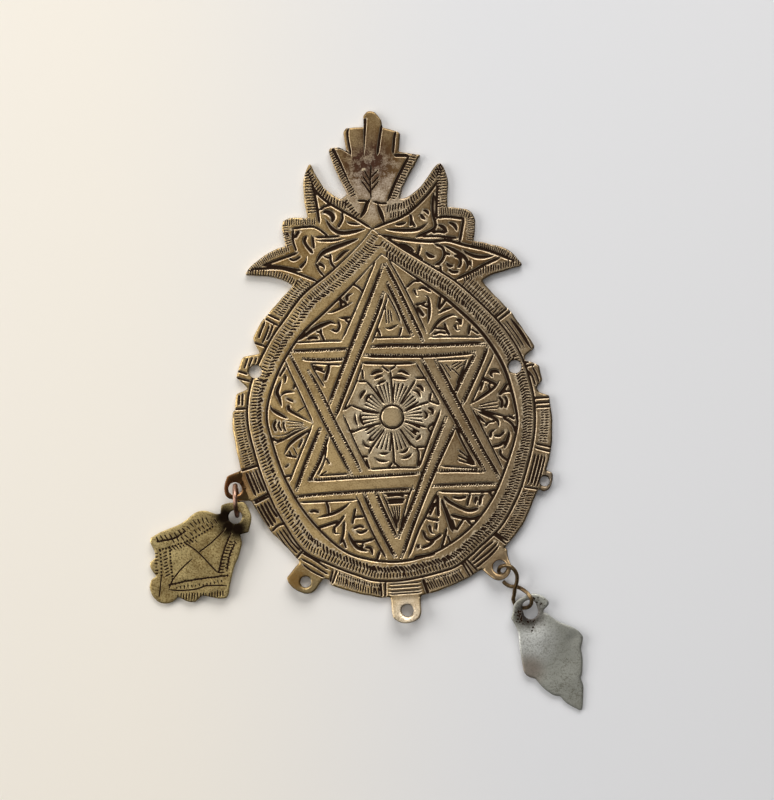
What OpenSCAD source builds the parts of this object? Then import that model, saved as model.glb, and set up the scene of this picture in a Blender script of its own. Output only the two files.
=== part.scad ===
// An engraved amulet pendant cut from silver sheet, with two small drops on jump rings, lying flat.
// Millimetres. The origin is under the middle of the rosette, on the back face.
// +Y points to the tip of the hand, +Z leaves the engraved face, and +X is to the right as seen from there.

/* [Plaque] */
// Thickness of the plaque's sheet
sheet_t = 1.2; // [1:0.1:1.4]
// Thickness of the ears at the rim
ear_t = 1.0; // [0.8:0.1:1.1]
// Radius of the two side holes, which were drilled for a cord
side_hole_r = 1.25; // [1:0.05:1.3]

/* [Engraving] */
// Width of an engraved line
line_w = 0.35; // [0.25:0.05:0.5]
// Depth of an engraved line
line_d = 0.2; // [0.1:0.05:0.4]
// Radius of the rosette's boss
boss_r = 2.1; // [1.8:0.1:2.3]
// Radius of the circle that the rosette's petals reach
petal_r = 9; // [8:0.5:10]

/* [Wire links] */
// Radius of the upright ring on the left, measured to the middle of its wire
ring_left_r = 2.85; // [2.8:0.05:2.9]
// Thickness of the wire of the upright ring
wire_left_d = 0.84; // [0.8:0.02:0.86]
// Thickness of the wire that is bent into a figure eight on the right
wire_right_d = 0.76; // [0.7:0.02:0.78]

/* [Drops] */
// Thickness of the drops' sheet
drop_t = 0.6; // [0.5:0.05:0.65]

/* [Hidden] */
$fn = 48;

// Edge of the sheet, clockwise from the tip of the middle finger, as [x, y].
hand_right = [
    [0.1, 58.5], [0.9, 58.2], [1.4, 57.4], [2, 56.5], [2.1, 55.2], [5, 54.2], [5.4, 53.7], [4.8, 50.4],
    [6.5, 50], [9, 49.5], [8.6, 49], [5.3, 43.9], [4.4, 41.5]
];
horn_right = [
    [5, 41.4], [6.5, 42.1], [8, 43.1], [9.5, 44.7], [11, 46.7], [12, 47.6], [12.6, 47.7], [13.2, 46.8],
    [13.6, 45.5], [13.8, 44], [13.6, 42], [13.3, 39.2]
];
step_right = [[15.5, 39], [17, 38.6], [18, 37.8], [18.5, 36.5], [18.3, 35], [17.9, 32.5]];
wing_right = [
    [20, 32], [22.3, 31.3], [24, 30.6], [25.2, 29.5], [26.5, 27.8], [26.7, 27.3], [26.2, 27], [23.5, 26.4],
    [20.5, 25.7], [19, 24.8]
];
rim_right = [
    [20, 23.3], [22.3, 20.6], [23.4, 19.3], [24.3, 18.2], [25.2, 16.6], [27.4, 12.9], [28, 11.8], [27.9, 11.3],
    [26.1, 10], [25.9, 9.2], [27.5, 8.7], [28.7, 8], [28.8, 6.6], [29, 5.1], [28.4, 4.6], [27.8, 3.8],
    [28.2, 3.1], [30.1, 2.2], [30.3, 0.2], [30.4, -2.5], [30.2, -5.5], [29.8, -8], [29.2, -10.2], [28.6, -12],
    [26.7, -15.6], [25.6, -17.8], [23.9, -21.3], [22.6, -23], [21, -24.7], [19.9, -25.8]
];
rim_bottom = [
    [18.8, -26.4], [16.8, -28.6], [14.4, -30.3], [12.4, -31.3], [9, -32.7], [5, -33.8], [3.2, -34],
    [-2.9, -34], [-4.8, -33.9], [-9, -32.8], [-12.6, -31.5], [-13.8, -30.8], [-14, -29.9], [-17, -28.9],
    [-18.6, -27.4], [-19.4, -26]
];
rim_left = [
    [-20.1, -25.2], [-22.3, -22.4], [-24.4, -20.1], [-25.2, -18.8], [-27.3, -15], [-27.6, -14.1],
    [-28.7, -11.8], [-29.2, -9.5], [-29.3, -8], [-29.9, -4.2], [-30.4, 0], [-30.2, 3.2], [-29.7, 3.6],
    [-29.4, 5.8], [-29.2, 6.6], [-27, 7.4], [-27.8, 8.5], [-29.1, 9.7], [-28.6, 11], [-27.7, 13.2],
    [-27.3, 13.6], [-24.2, 14], [-25.1, 15.9], [-25.3, 16.9], [-24.2, 19], [-23.4, 20.1], [-22.2, 21.3],
    [-20, 23.5], [-17.6, 25.9], [-17, 26.3]
];
wing_left = [
    [-18, 27.1], [-20, 28], [-22.5, 28.6], [-25.7, 28.9], [-25.9, 29.2], [-25.3, 30.2], [-24.3, 31],
    [-22.5, 32.3], [-20, 33.5], [-18, 34]
];
step_left = [[-18.2, 36], [-18.4, 37.5], [-18.1, 38.8], [-17, 39.3], [-13.4, 39.1]];
horn_left = [
    [-13.7, 41.5], [-13.9, 44], [-13.7, 46], [-13.2, 47.8], [-12.5, 49], [-12.1, 49.2], [-11.6, 48],
    [-10.8, 46.3], [-10, 44.8], [-8.5, 43.2], [-6.8, 42.1]
];
hand_left = [
    [-5.6, 43], [-7.4, 47.4], [-8.6, 51.4], [-8.2, 52], [-6.3, 52], [-5.2, 51.2], [-5.5, 54.8],
    [-4.9, 55.6], [-1.6, 55.5], [-1.5, 57.6], [-0.7, 58.4]
];
sheet_edge = concat(
    hand_right, horn_right, step_right, wing_right, rim_right, rim_bottom, rim_left, wing_left,
    step_left, horn_left, hand_left
);

// Ears, as [outline, middle of the fold, direction away from the plaque, bend, hole, radius of the hole].
EAR_EDGE = 0;
EAR_FOLD = 1;
EAR_OUT = 2;
EAR_BEND = 3;
EAR_HOLE = 4;
EAR_HOLE_R = 5;
ear_left = [
    [
        [-27.4, -9], [-29.3, -7.9], [-30.5, -8.3], [-31.9, -8.7], [-32.4, -9.8], [-32.6, -11.2], [-32.4, -12.5],
        [-31.8, -13.1], [-30.6, -13.4], [-29, -13.8], [-26.6, -14]
    ],
    [-28.6, -11], 193, 32, [-30.6, -11.3], 1.25
];
ear_lower_left = [
    [
        [-17.4, -26], [-19.2, -25.8], [-20.5, -27.1], [-22.1, -28.8], [-21.9, -29.6], [-21.2, -30.6],
        [-20.2, -31.5], [-18.7, -32.2], [-17.4, -32.1], [-16.5, -31.4], [-15.9, -30.6], [-14.2, -28.4]
    ],
    [-17.4, -28.4], 237, 15, [-18.5, -29.9], 1.05
];
ear_bottom = [
    [
        [-2.9, -32.6], [-2.6, -34.5], [-2.6, -36.5], [-2.5, -37.8], [-1.6, -38.5], [-0.6, -38.9], [0.6, -39],
        [1.8, -38.7], [2.7, -38], [3.1, -37], [3.1, -35], [3.1, -32.6]
    ],
    [0.2, -33.9], 270, 20, [0.4, -36.6], 1.15
];
ear_lower_right = [
    [
        [13.6, -28.6], [15.2, -30], [16.2, -31.1], [17.2, -32], [18.3, -32.2], [19.5, -31.7], [20.4, -30.7],
        [20.7, -29.5], [20.2, -28.1], [20.1, -26.4], [18.4, -25.2]
    ],
    [17, -28.3], 305, 22, [18.4, -29.6], 1.3
];
ear_right = [
    [
        [26.4, -12], [28.6, -11.9], [29.5, -12.3], [29.8, -12.9], [29.6, -14], [29.2, -15.1], [28.6, -15.8],
        [27.7, -16], [27, -15.5], [25.4, -14.6]
    ],
    [27.6, -13.6], 337, 12, [28.1, -14], 0.95
];
ears = [ear_left, ear_lower_left, ear_bottom, ear_lower_right, ear_right];
side_holes = [[-25.3, 10.6], [24, 8.1]];

// Engraved outlines: the two borders of the medallion, clockwise from the top.
border_outer = [
    [-1.2, 36], [4, 32.2], [10, 28], [15, 24], [19, 19.8], [22.5, 15.4], [25.2, 10.4], [26.7, 5], [27.2, 0],
    [26.5, -6], [24.6, -12.8], [21.5, -18.3], [17.6, -23.2], [12, -27.8], [6, -30.2], [0, -30.9],
    [-6, -30.1], [-12, -28], [-17.5, -24.8], [-22, -18], [-25.1, -10.4], [-26.8, -3.4], [-27.2, 2],
    [-26.4, 8.2], [-23.9, 13.6], [-20.1, 19.1], [-14.6, 24.7], [-9, 29.2]
];
border_inner = [
    [0.3, 31.2], [5.6, 26.8], [10.8, 22.4], [15.4, 17.8], [19.4, 13], [22.3, 7.2], [23.6, 1], [23, -5],
    [20, -13], [16.4, -19], [11, -23], [5, -25.9], [0, -26.8], [-5, -25.9], [-11, -23.2], [-16, -19],
    [-19.8, -13], [-22.6, -6], [-23.7, 0], [-22.6, 7], [-19, 13.6], [-13.6, 19.6], [-6.8, 25.2]
];
// Corners of the two triangles of the star, between the edges of their bands.
star_up = [[0.4, 28.6], [-18.6, -12], [19, -12]];
star_down = [[-17.6, 13.3], [18, 12.6], [-0.5, -24.6]];
star_band = 2.2;
// Inner lines of the crown, each an open path.
crown_lines = [
    [[-1.3, 36.1], [-3.5, 37.8], [-6.5, 39.9], [-9, 41.5], [-11.7, 44.4], [-12, 47]],
    [[-11.7, 44.4], [-11.5, 41], [-11.1, 37.6]],
    [[-16.6, 37.4], [-12, 37], [-9.8, 35.4]],
    [[-16.6, 37.4], [-16.2, 34], [-15.7, 32.8], [-22.7, 30.6], [-16, 29], [-12.4, 26.8]],
    [[-1.3, 36.1], [2, 37], [5, 38.4], [8, 40.2], [11.4, 44]],
    [[11.6, 43.2], [11.2, 40], [10.9, 37], [10.2, 35.3], [8, 34.2]],
    [[10.9, 37.6], [16.3, 37], [15.2, 32.2]],
    [[0.5, 35], [10, 33], [15.2, 31.3], [20.6, 29.6], [25.6, 28.2]],
    [[13.8, 25.3], [17.4, 26.9], [22.8, 28.8]],
    [[-4.9, 54.6], [-4.6, 50.4], [4.2, 49.7], [4.9, 53.4]],
    [[-1.6, 55.4], [-1.4, 50.2]],
    [[2.1, 55], [1.6, 49.9]],
    [[-7.6, 51], [-5.4, 46], [-3.5, 41.6], [-1.2, 41.3], [2, 40.9], [5, 46], [7.6, 49]],
    [[-1, 48.2], [-1.1, 43], [-1.8, 40.9], [-3.4, 38]],
    [[0.1, 41], [0.7, 39], [1, 37]]
];
// Double cuts across the rim, each as [inner end, outer end].
rim_cuts = [
    [[-20, 19.9], [-22.4, 21.6]], [[-20.5, 19.2], [-23, 20.7]], [[-22.9, 15], [-25.2, 15.8]],
    [[-26.8, 10], [-28.8, 10.8]], [[-26.4, 9.1], [-29, 9.8]], [[-27.4, 3.7], [-29.9, 3.7]],
    [[-26.2, -7.1], [-29.3, -8]], [[-24.3, -12.9], [-27.8, -13.9]], [[-24.6, -13.3], [-27.5, -14.4]],
    [[-21.8, -18.7], [-24.5, -19.9]], [[-18.9, -24.3], [-20.2, -25.4]], [[-12.8, -28], [-13.9, -30.8]],
    [[-4, -30.9], [-4.3, -33.9]], [[-3.3, -30.9], [-3.6, -33.9]], [[3.6, -30.7], [4, -34]],
    [[4.2, -30.6], [4.6, -34]], [[11.4, -28.2], [13.3, -31]], [[12.3, -28], [14.2, -30.6]],
    [[18.1, -23.2], [20.7, -25]], [[23.9, -14.7], [26.6, -15.8]], [[26.7, -6.8], [29.9, -7.8]],
    [[26.6, -7.5], [29.7, -8.5]], [[27.3, 2], [30.1, 1.9]], [[27.4, 1.1], [30.3, 1]],
    [[27.4, 0.1], [30.4, 0]], [[25.9, 8.1], [27.7, 8.6]], [[21.2, 17.3], [23.8, 18.7]],
    [[20.9, 18], [23.1, 19.4]]
];
petals = 10;
rays_per_petal = 3;

// Left drop: the outline, its hole, and how it leans from its lower end up to its eye.
drop_left_edge = [
    [-33.4, -14.2], [-32.5, -13.9], [-30.8, -13.8], [-29.2, -13.9], [-28.5, -14.6], [-27.8, -16.5],
    [-27.9, -17.6], [-28.6, -19.7], [-30.2, -20], [-29.9, -21.6], [-30.8, -24.2], [-31.8, -26], [-32.9, -29.6],
    [-33.2, -31.2], [-33.7, -31.9], [-35, -32], [-38.2, -31.1], [-39.1, -31.8], [-39.8, -32.3], [-41, -32.2],
    [-42.9, -31.1], [-43.9, -32], [-45.4, -32.3], [-46.7, -31.9], [-47.8, -30.7], [-48.3, -28.9],
    [-47.8, -27.5], [-46.8, -26.9], [-47.8, -25.2], [-47.8, -24.2], [-46.7, -23.3], [-46.7, -22.2],
    [-47.5, -20.4], [-47.3, -19.5], [-45.4, -18.5], [-41.2, -17.2], [-38.6, -15.3], [-37.6, -15],
    [-36.4, -15], [-34.6, -15.8], [-33.7, -15.8]
];
drop_left_hole = [-30.9, -16.6];
drop_left_hole_r = 1.3;
drop_left_foot = [-47.6, -31.4];
drop_left_dir = 42;
drop_left_lean = 5;
drop_left_lines = [
    [[-32.8, -19], [-38.6, -22.8], [-44.6, -28.8]],
    [[-41.2, -20.6], [-35, -26.8]],
    [[-32.6, -20], [-35, -27.2]],
    [[-33.2, -27.4], [-39.6, -27.8], [-44.4, -28.8], [-40, -29.8], [-33.6, -29.3]],
    [[-45, -21.8], [-41, -20.6]],
    [[-44, -22.2], [-43.9, -26.8]]
];
// Right drop: the outline, its long hole, and its gentle bends, as [distance along the drop from its far
// tip, height of its underside].
drop_right_edge = [
    [19.9, -39.6], [20.3, -38.2], [20.5, -37], [21.1, -36.2], [22.4, -35.5], [24.2, -35], [25.5, -35.3],
    [26.6, -36], [27.2, -36.7], [27.2, -37.4], [26.2, -38.2], [26.1, -38.7], [27, -39.2], [28.7, -40.7],
    [31.5, -42], [32.6, -42.8], [33.3, -43.9], [33.2, -44.8], [32.7, -46], [33, -48], [32.7, -51], [32.3, -51.7],
    [32.8, -53.2], [32.4, -57], [32.2, -57.8], [31.8, -58], [29.8, -56.8], [28.9, -56], [28.2, -55],
    [27, -54.8], [25, -53.2], [23.7, -51.3], [22.4, -50.9], [21.6, -50], [21.4, -48], [21.1, -45.5],
    [21.1, -42.3], [20.4, -40.5]
];
drop_right_hole_ends = [[23.5, -37.6], [23.7, -38.5]];
drop_right_hole_r = 1.4;
drop_right_tip = [31.6, -58];
drop_right_dir = 112;
drop_right_bends = [[-1, 0], [2, 0], [6, 0.4], [11, 0.5], [15, 1.1], [18, 1.2], [24.5, 1.25]];

// Middle of the upright ring, which stands on its edge between its two holes.
ring_left_at = [-30.45, -13.5];
// The wire of the right link, from its end under the ear: up through the ear, over, and down into the
// drop's lower loop, up through the drop's hole, over and back to its other end under the ear.
link_path = [
    [19, -31.2, 0.42], [18.5, -31, 0.48], [18.2, -30.5, 0.8], [18.3, -29.9, 1.5], [18.6, -29.5, 2.3],
    [19.3, -29.3, 2.9], [20.3, -29.5, 3.1], [21.1, -30.3, 3], [21.5, -31.4, 2.7], [21.4, -32.6, 2.3], [21, -33.8, 1.8],
    [20.8, -35, 1.2], [20.6, -36.1, 0.6], [21.1, -37.2, 0.42], [22.1, -37.7, 0.5], [23, -37.7, 1],
    [23.6, -37.3, 1.8], [23.9, -36.6, 2.5], [23.8, -35.7, 2.7], [23.2, -34.8, 2.2], [22.2, -34, 1.3],
    [21.2, -33.6, 0.55], [20.2, -33.5, 0.42], [19.4, -33, 0.42], [18.9, -32.4, 0.42]
];
link_sides = 12;
link_steps = 4;

// How far a cutter reaches beyond the sheet, and the size of a slab before it is trimmed to its outline.
over = 1;
slab = 60;

// A straight engraved line from p to q, in the plane of the sheet.
module line(p, q) {
    run = norm(q - p);
    translate(p) rotate(atan2(q.y - p.y, q.x - p.x)) translate([-line_w / 2, -line_w / 2])
        square([run + line_w, line_w]);
}

module open_path(points) {
    for (i = [0 : len(points) - 2]) line(points[i], points[i + 1]);
}

module closed_path(points) {
    for (i = [0 : len(points) - 1]) line(points[i], points[(i + 1) % len(points)]);
}

// Two lines along one side of a band of the star, a band's width apart.
module band_side(p, q) {
    along = (q - p) / norm(q - p);
    across = [-along.y, along.x] * star_band / 2;
    line(p + across, q + across);
    line(p - across, q - across);
}

module star() {
    for (corners = [star_up, star_down]) for (i = [0 : 2]) band_side(corners[i], corners[(i + 1) % 3]);
}

// Rays that run out from the boss, with a longer line between two petals.
module rosette() {
    difference() {
        circle(r = boss_r + line_w);
        circle(r = boss_r);
    }
    rays = petals * (rays_per_petal + 1);
    for (i = [0 : rays - 1]) {
        reach = i % (rays_per_petal + 1) == 0 ? petal_r : (boss_r + petal_r) / 2;
        rotate(90 + i * 360 / rays) translate([boss_r + line_w / 2, -line_w / 4]) square([reach - boss_r, line_w / 2]);
    }
}

// Everything that is cut into the face, as one flat shape.
module engraving() {
    closed_path(border_outer);
    closed_path(border_inner);
    star();
    rosette();
    for (path = crown_lines) open_path(path);
    for (cut = rim_cuts) line(cut[0], cut[1]);
}

// Places its children on an ear's bent sheet: X leaves the plaque along the ear, Z is square to it.
module on_ear(e) {
    fold = e[EAR_FOLD];
    translate([fold.x, fold.y, 0]) rotate([0, 0, e[EAR_OUT]]) rotate([0, -e[EAR_BEND], 0]) children();
}

module ear(e) {
    intersection() {
        linear_extrude(slab) polygon(e[EAR_EDGE]);
        on_ear(e) translate([-slab / 2, -slab / 2, 0]) cube([slab, slab, ear_t]);
    }
}

// The ear's hole is square to its bent sheet and its middle is above the ear's own hole point.
module ear_hole(e) {
    fold = e[EAR_FOLD];
    out = [cos(e[EAR_OUT]), sin(e[EAR_OUT])];
    away = (e[EAR_HOLE] - fold) * out;
    aside = (e[EAR_HOLE] - fold) * [-out.y, out.x];
    along = (away + ear_t / 2 * sin(e[EAR_BEND])) / cos(e[EAR_BEND]);
    on_ear(e) translate([along, aside, -over]) cylinder(r = e[EAR_HOLE_R], h = ear_t + 2 * over);
}

module plate() {
    color("#9a8c72") difference() {
        union() {
            linear_extrude(sheet_t) polygon(sheet_edge);
            for (e = ears) ear(e);
        }
        translate([0, 0, sheet_t - line_d]) linear_extrude(line_d + over) engraving();
        for (hole = side_holes) translate([hole.x, hole.y, -over]) cylinder(r = side_hole_r, h = sheet_t + 2 * over);
        for (e = ears) ear_hole(e);
    }
}

module wire_ring(mid_r, wire_d) {
    rotate_extrude() translate([mid_r, 0]) circle(d = wire_d, $fn = 24);
}

module ring_left() {
    color("#a5715a") translate([ring_left_at.x, ring_left_at.y, ring_left_r + wire_left_d / 2])
        rotate([0, 90, 0]) wire_ring(ring_left_r, wire_left_d);
}

// A point of the smooth curve through b and c, at the share t of the way between them.
function smooth_point(a, b, c, d, t) =
    (2 * b + (c - a) * t + (2 * a - 5 * b + 4 * c - d) * t * t + (3 * b - a - 3 * c + d) * t * t * t) / 2;

// The smooth curve through all the points, with a number of steps between each two.
function smooth_path(points, steps) = [
    for (i = [0 : len(points) - 2]) for (k = [0 : (i == len(points) - 2 ? steps : steps - 1)])
        smooth_point(
            points[max(i - 1, 0)], points[i], points[i + 1], points[min(i + 2, len(points) - 1)], k / steps
        )
];

function unit(v) = v / norm(v);

// The direction of the path at each of its points.
function headings(path) = [
    for (i = [0 : len(path) - 1]) unit(path[min(i + 1, len(path) - 1)] - path[max(i - 1, 0)])
];

// A direction square to each heading, which turns as little as it can from one point to the next.
function sideways(heading) = [
    for (i = 0, v = unit(cross(heading[0], [1, 0, 0])); i < len(heading);
        i = i + 1, v = i < len(heading) ? unit(v - (v * heading[i]) * heading[i]) : v) v
];

// A round wire along the smooth curve through the points, closed at both ends.
module wire_along(points, wire_d, sides, steps) {
    path = smooth_path(points, steps);
    heading = headings(path);
    side = sideways(heading);
    last = len(path) - 1;
    rings = [
        for (i = [0 : last]) for (k = [0 : sides - 1])
            path[i] + wire_d / 2 * (cos(k * 360 / sides) * side[i] + sin(k * 360 / sides) * cross(heading[i], side[i]))
    ];
    walls = [
        for (i = [0 : last - 1]) for (k = [0 : sides - 1])
            let (a = i * sides + k, b = i * sides + (k + 1) % sides) each [[a, a + sides, b], [b, a + sides, b + sides]]
    ];
    start_cap = [for (k = [0 : sides - 1]) k];
    end_cap = [for (k = [sides - 1 : -1 : 0]) last * sides + k];
    polyhedron(rings, concat(walls, [start_cap, end_cap]));
}

module link_right() {
    color("#5e4a33") wire_along(link_path, wire_right_d, link_sides, link_steps);
}

// Places its children on the left drop: X runs from its lower end up to its eye, Z is square to its sheet.
module on_drop_left() {
    translate([drop_left_foot.x, drop_left_foot.y, 0]) rotate([0, 0, drop_left_dir])
        rotate([0, -drop_left_lean, 0]) children();
}

// The left drop is flat: it leans on its lower edge and is held up by its ring at the eye.
module drop_left() {
    color("#8c8055") difference() {
        intersection() {
            linear_extrude(slab) polygon(drop_left_edge);
            on_drop_left() translate([-slab / 2, -slab / 2, 0]) cube([slab, slab, drop_t]);
        }
        translate([drop_left_hole.x, drop_left_hole.y, -over]) cylinder(r = drop_left_hole_r, h = slab);
        on_drop_left() translate([0, 0, drop_t - line_d]) linear_extrude(line_d + over)
            rotate(-drop_left_dir) translate(-drop_left_foot) for (path = drop_left_lines) open_path(path);
    }
}

// The right drop is a thin sheet with gentle bends across it.
module drop_right() {
    rise = drop_right_bends;
    top = [for (i = [len(rise) - 1 : -1 : 0]) rise[i] + [0, drop_t]];
    color("#8f8d82") difference() {
        intersection() {
            linear_extrude(slab) polygon(drop_right_edge);
            translate([drop_right_tip.x, drop_right_tip.y, 0]) rotate([0, 0, drop_right_dir])
                translate([0, slab / 2, 0]) rotate([90, 0, 0]) linear_extrude(slab) polygon(concat(rise, top));
        }
        for (end = drop_right_hole_ends) translate([end.x, end.y, -over]) cylinder(r = drop_right_hole_r, h = slab);
    }
}

plate();
ring_left();
link_right();
drop_left();
drop_right();
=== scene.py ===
# %% [markdown]
# An old silver pendant, engraved by hand and laid on a table. The real one is sawn from
# sheet a little over a millimetre thick. Every line on it is a furrow that a graver pushed
# out, so the furrows are cut into the mesh here and are not painted on it: they catch the
# light from the side as the real ones do. This notebook makes the engraved sheet first,
# then the two drops, the wires that hold them, the metals, and the table and its light.

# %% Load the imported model
import math
import bpy
import numpy as np
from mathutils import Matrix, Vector
from mathutils.geometry import delaunay_2d_cdt


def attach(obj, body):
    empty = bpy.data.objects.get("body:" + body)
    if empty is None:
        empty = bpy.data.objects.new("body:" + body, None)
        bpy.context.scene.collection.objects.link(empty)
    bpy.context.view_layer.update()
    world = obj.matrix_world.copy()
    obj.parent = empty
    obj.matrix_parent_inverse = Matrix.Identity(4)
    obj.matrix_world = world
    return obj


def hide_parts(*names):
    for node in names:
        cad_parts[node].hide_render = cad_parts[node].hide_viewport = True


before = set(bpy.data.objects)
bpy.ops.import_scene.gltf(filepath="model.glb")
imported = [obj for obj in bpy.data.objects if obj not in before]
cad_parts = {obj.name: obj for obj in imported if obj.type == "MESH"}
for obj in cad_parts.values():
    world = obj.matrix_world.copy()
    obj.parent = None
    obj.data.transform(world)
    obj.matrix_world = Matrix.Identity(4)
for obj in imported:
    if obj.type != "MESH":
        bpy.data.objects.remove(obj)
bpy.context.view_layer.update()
MM = 0.001
chance = np.random.default_rng(7)
print("nodes:", sorted(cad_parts))

# %% [markdown]
# Everything on the sheet starts as a curve drawn through a few points. A curve through its
# points is what a pencil does on the metal before the graver follows it, so a smooth spline is
# the right tool: few numbers, and no corners where the hand had none.

# %% A smooth curve through a few points
def curve(points, step):
    """Evenly spaced points on a Catmull-Rom curve: between two points a cubic whose slopes
    are half the chord between the neighbours on either side."""
    p = np.array(points, float)
    if len(p) > 2:
        p = np.vstack([2 * p[0] - p[1], p, 2 * p[-1] - p[-2]])
        a, b, c, d = (p[i:len(p) - 3 + i, None] for i in range(4))
        t = np.linspace(0, 1, 9)[None, :-1, None]
        cubic = 2 * b + (c - a) * t + (2 * a - 5 * b + 4 * c - d) * t**2
        cubic = (cubic + (3 * b - a - 3 * c + d) * t**3) / 2
        p = np.vstack([cubic.reshape(-1, p.shape[1]), p[-2:-1]])
    along = np.r_[0, np.cumsum(np.linalg.norm(np.diff(p, axis=0), axis=1))]
    stops = np.linspace(0, along[-1], max(3, int(along[-1] / step) + 1))
    return np.column_stack([np.interp(stops, along, axis) for axis in p.T])


def sideways(path):
    """The unit direction to the left of a path at each of its points."""
    slope = np.gradient(path, axis=0)
    slope /= np.linalg.norm(slope, axis=1)[:, None] + 1e-9
    return np.column_stack([-slope[:, 1], slope[:, 0]])


# %% [markdown]
# A graver leaves three kinds of cut here. A line keeps its width, and only its ends are
# thin. A flick starts and ends thin and is broad in the middle. A wedge starts broad and
# runs out. Bodies of these shapes could be taken out of the sheet one by one, but with two
# and a half thousand of them that is slow and leaves a poor mesh. So each kind is one
# formula for the half width along the cut, and a cut is kept as rows of x, y, half width,
# the direction sideways and its soot.

# %% Cuts of the graver
NODE_STEP = 0.06
LIP = 0.13
# A cut thinner than this gets a narrower lip and more soot.
FINE_WIDTH = 0.28
FINE_LIP = 0.05
FINE_SOOT = 2.6
# Where the half width is larger than this, the soot is spread over more room.
BROAD_HALF = 0.34


def line(s):
    """Full width. Near each end it falls with the root of the way left, to about 0.6."""
    return np.clip(np.minimum(s, 1 - s) * 14, 0.35, 1) ** 0.5


def flick(s):
    """Thin, broad, thin: the sine of the way along, made fuller by a power below one."""
    return 0.15 + 0.85 * np.sin(np.pi * s) ** 0.7


def wedge(s):
    """Broad at the start and running out: the way left, to a power a little below one."""
    return 0.12 + 0.88 * (1 - s) ** 0.8


def cut(kind, width, points, lip=LIP, soot=1.0):
    """Rows of x, y, half width, sideways direction and soot along one cut. The width is that
    of the dark bottom, and the clean wall beside it adds a lip on either side. Soot is how
    steeply the dirt thickens inwards: more in fine cuts, less in broad ones."""
    path = curve(points, NODE_STEP)
    s = np.linspace(0, 1, len(path))
    half = kind(s) * (width / 2 + lip)
    soot = soot * np.minimum(1, BROAD_HALF / half)
    return np.column_stack([path, half, sideways(path), soot])


def cuts(table, broad, **more):
    """A whole table of cuts, all of them broader by the same factor. A row is a kind, a width
    and points, and a row without a kind is a line. Hairlines keep their width and get narrow
    lips, so that several of them fit side by side."""
    made = []
    for row in table:
        kind, width, *points = row if callable(row[0]) else (line, *row)
        if width < FINE_WIDTH:
            made.append(cut(kind, width, points, FINE_LIP, FINE_SOOT))
        else:
            made.append(cut(kind, width * broad, points, **more))
    return made


# %% [markdown]
# Between the lines lie rows of short ticks, made one beside the other by rocking the graver
# along a line. A row follows a path at a fixed distance, each tick leans by the same angle,
# and the hand makes no two ticks quite alike, so length, place and lean vary a little.

# %% Rows of ticks and punched dots
TICK_SOOT = 4
# What a shake of 1 does to a tick: degrees of lean, mm along it, and share of its width.
LEAN_SHAKE = 30
START_SHAKE = 0.25
WIDTH_SHAKE = 0.6
DOT_SHAKE = 0.03


def ticks(path, inset, length, pitch, lean, width, shake=0.1):
    """Short cuts beside a path. Each starts `inset` to its left and runs `length` away from
    it, turned by `lean` degrees. A negative length runs back towards the path."""
    spine = curve(path, pitch)
    left = sideways(spine)
    spread = chance.normal(0, shake, (len(spine), 3))
    turn = np.radians(lean + LEAN_SHAKE * spread[:, 0])
    aim = np.column_stack([left[:, 0] * np.cos(turn) - left[:, 1] * np.sin(turn),
                           left[:, 0] * np.sin(turn) + left[:, 1] * np.cos(turn)])
    start = spine + left * inset + aim * spread[:, 1:2] * START_SHAKE
    reach = length * (1 + spread[:, 2:3])
    wide = width * (1 + WIDTH_SHAKE * chance.normal(0, shake, len(spine)))
    return [cut(line, w, [a, a + d], FINE_LIP, TICK_SOOT)
            for a, d, w in zip(start, aim * reach, wide)]


def dots(path, inset, pitch, radius, soot):
    """Round punch marks beside a path. Each is a cut of one row, with no direction."""
    spine = curve(path, pitch)
    spot = spine + sideways(spine) * inset
    spot = spot + chance.normal(0, DOT_SHAKE, spot.shape)
    return [np.array([[x, y, radius, 0, 0, soot]]) for x, y in spot]


# %% [markdown]
# The star is two triangles of double-lined ribbon that pass over and under each other. Each
# side has a thin line at its rim and, one step in, a line with small teeth, which stands
# for a twisted wire. Two exact triangles could be worked out, but the maker drew the sides
# by eye and none is quite straight, so each stroke has its own points. A line stops where
# another side crosses on top.

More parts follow.
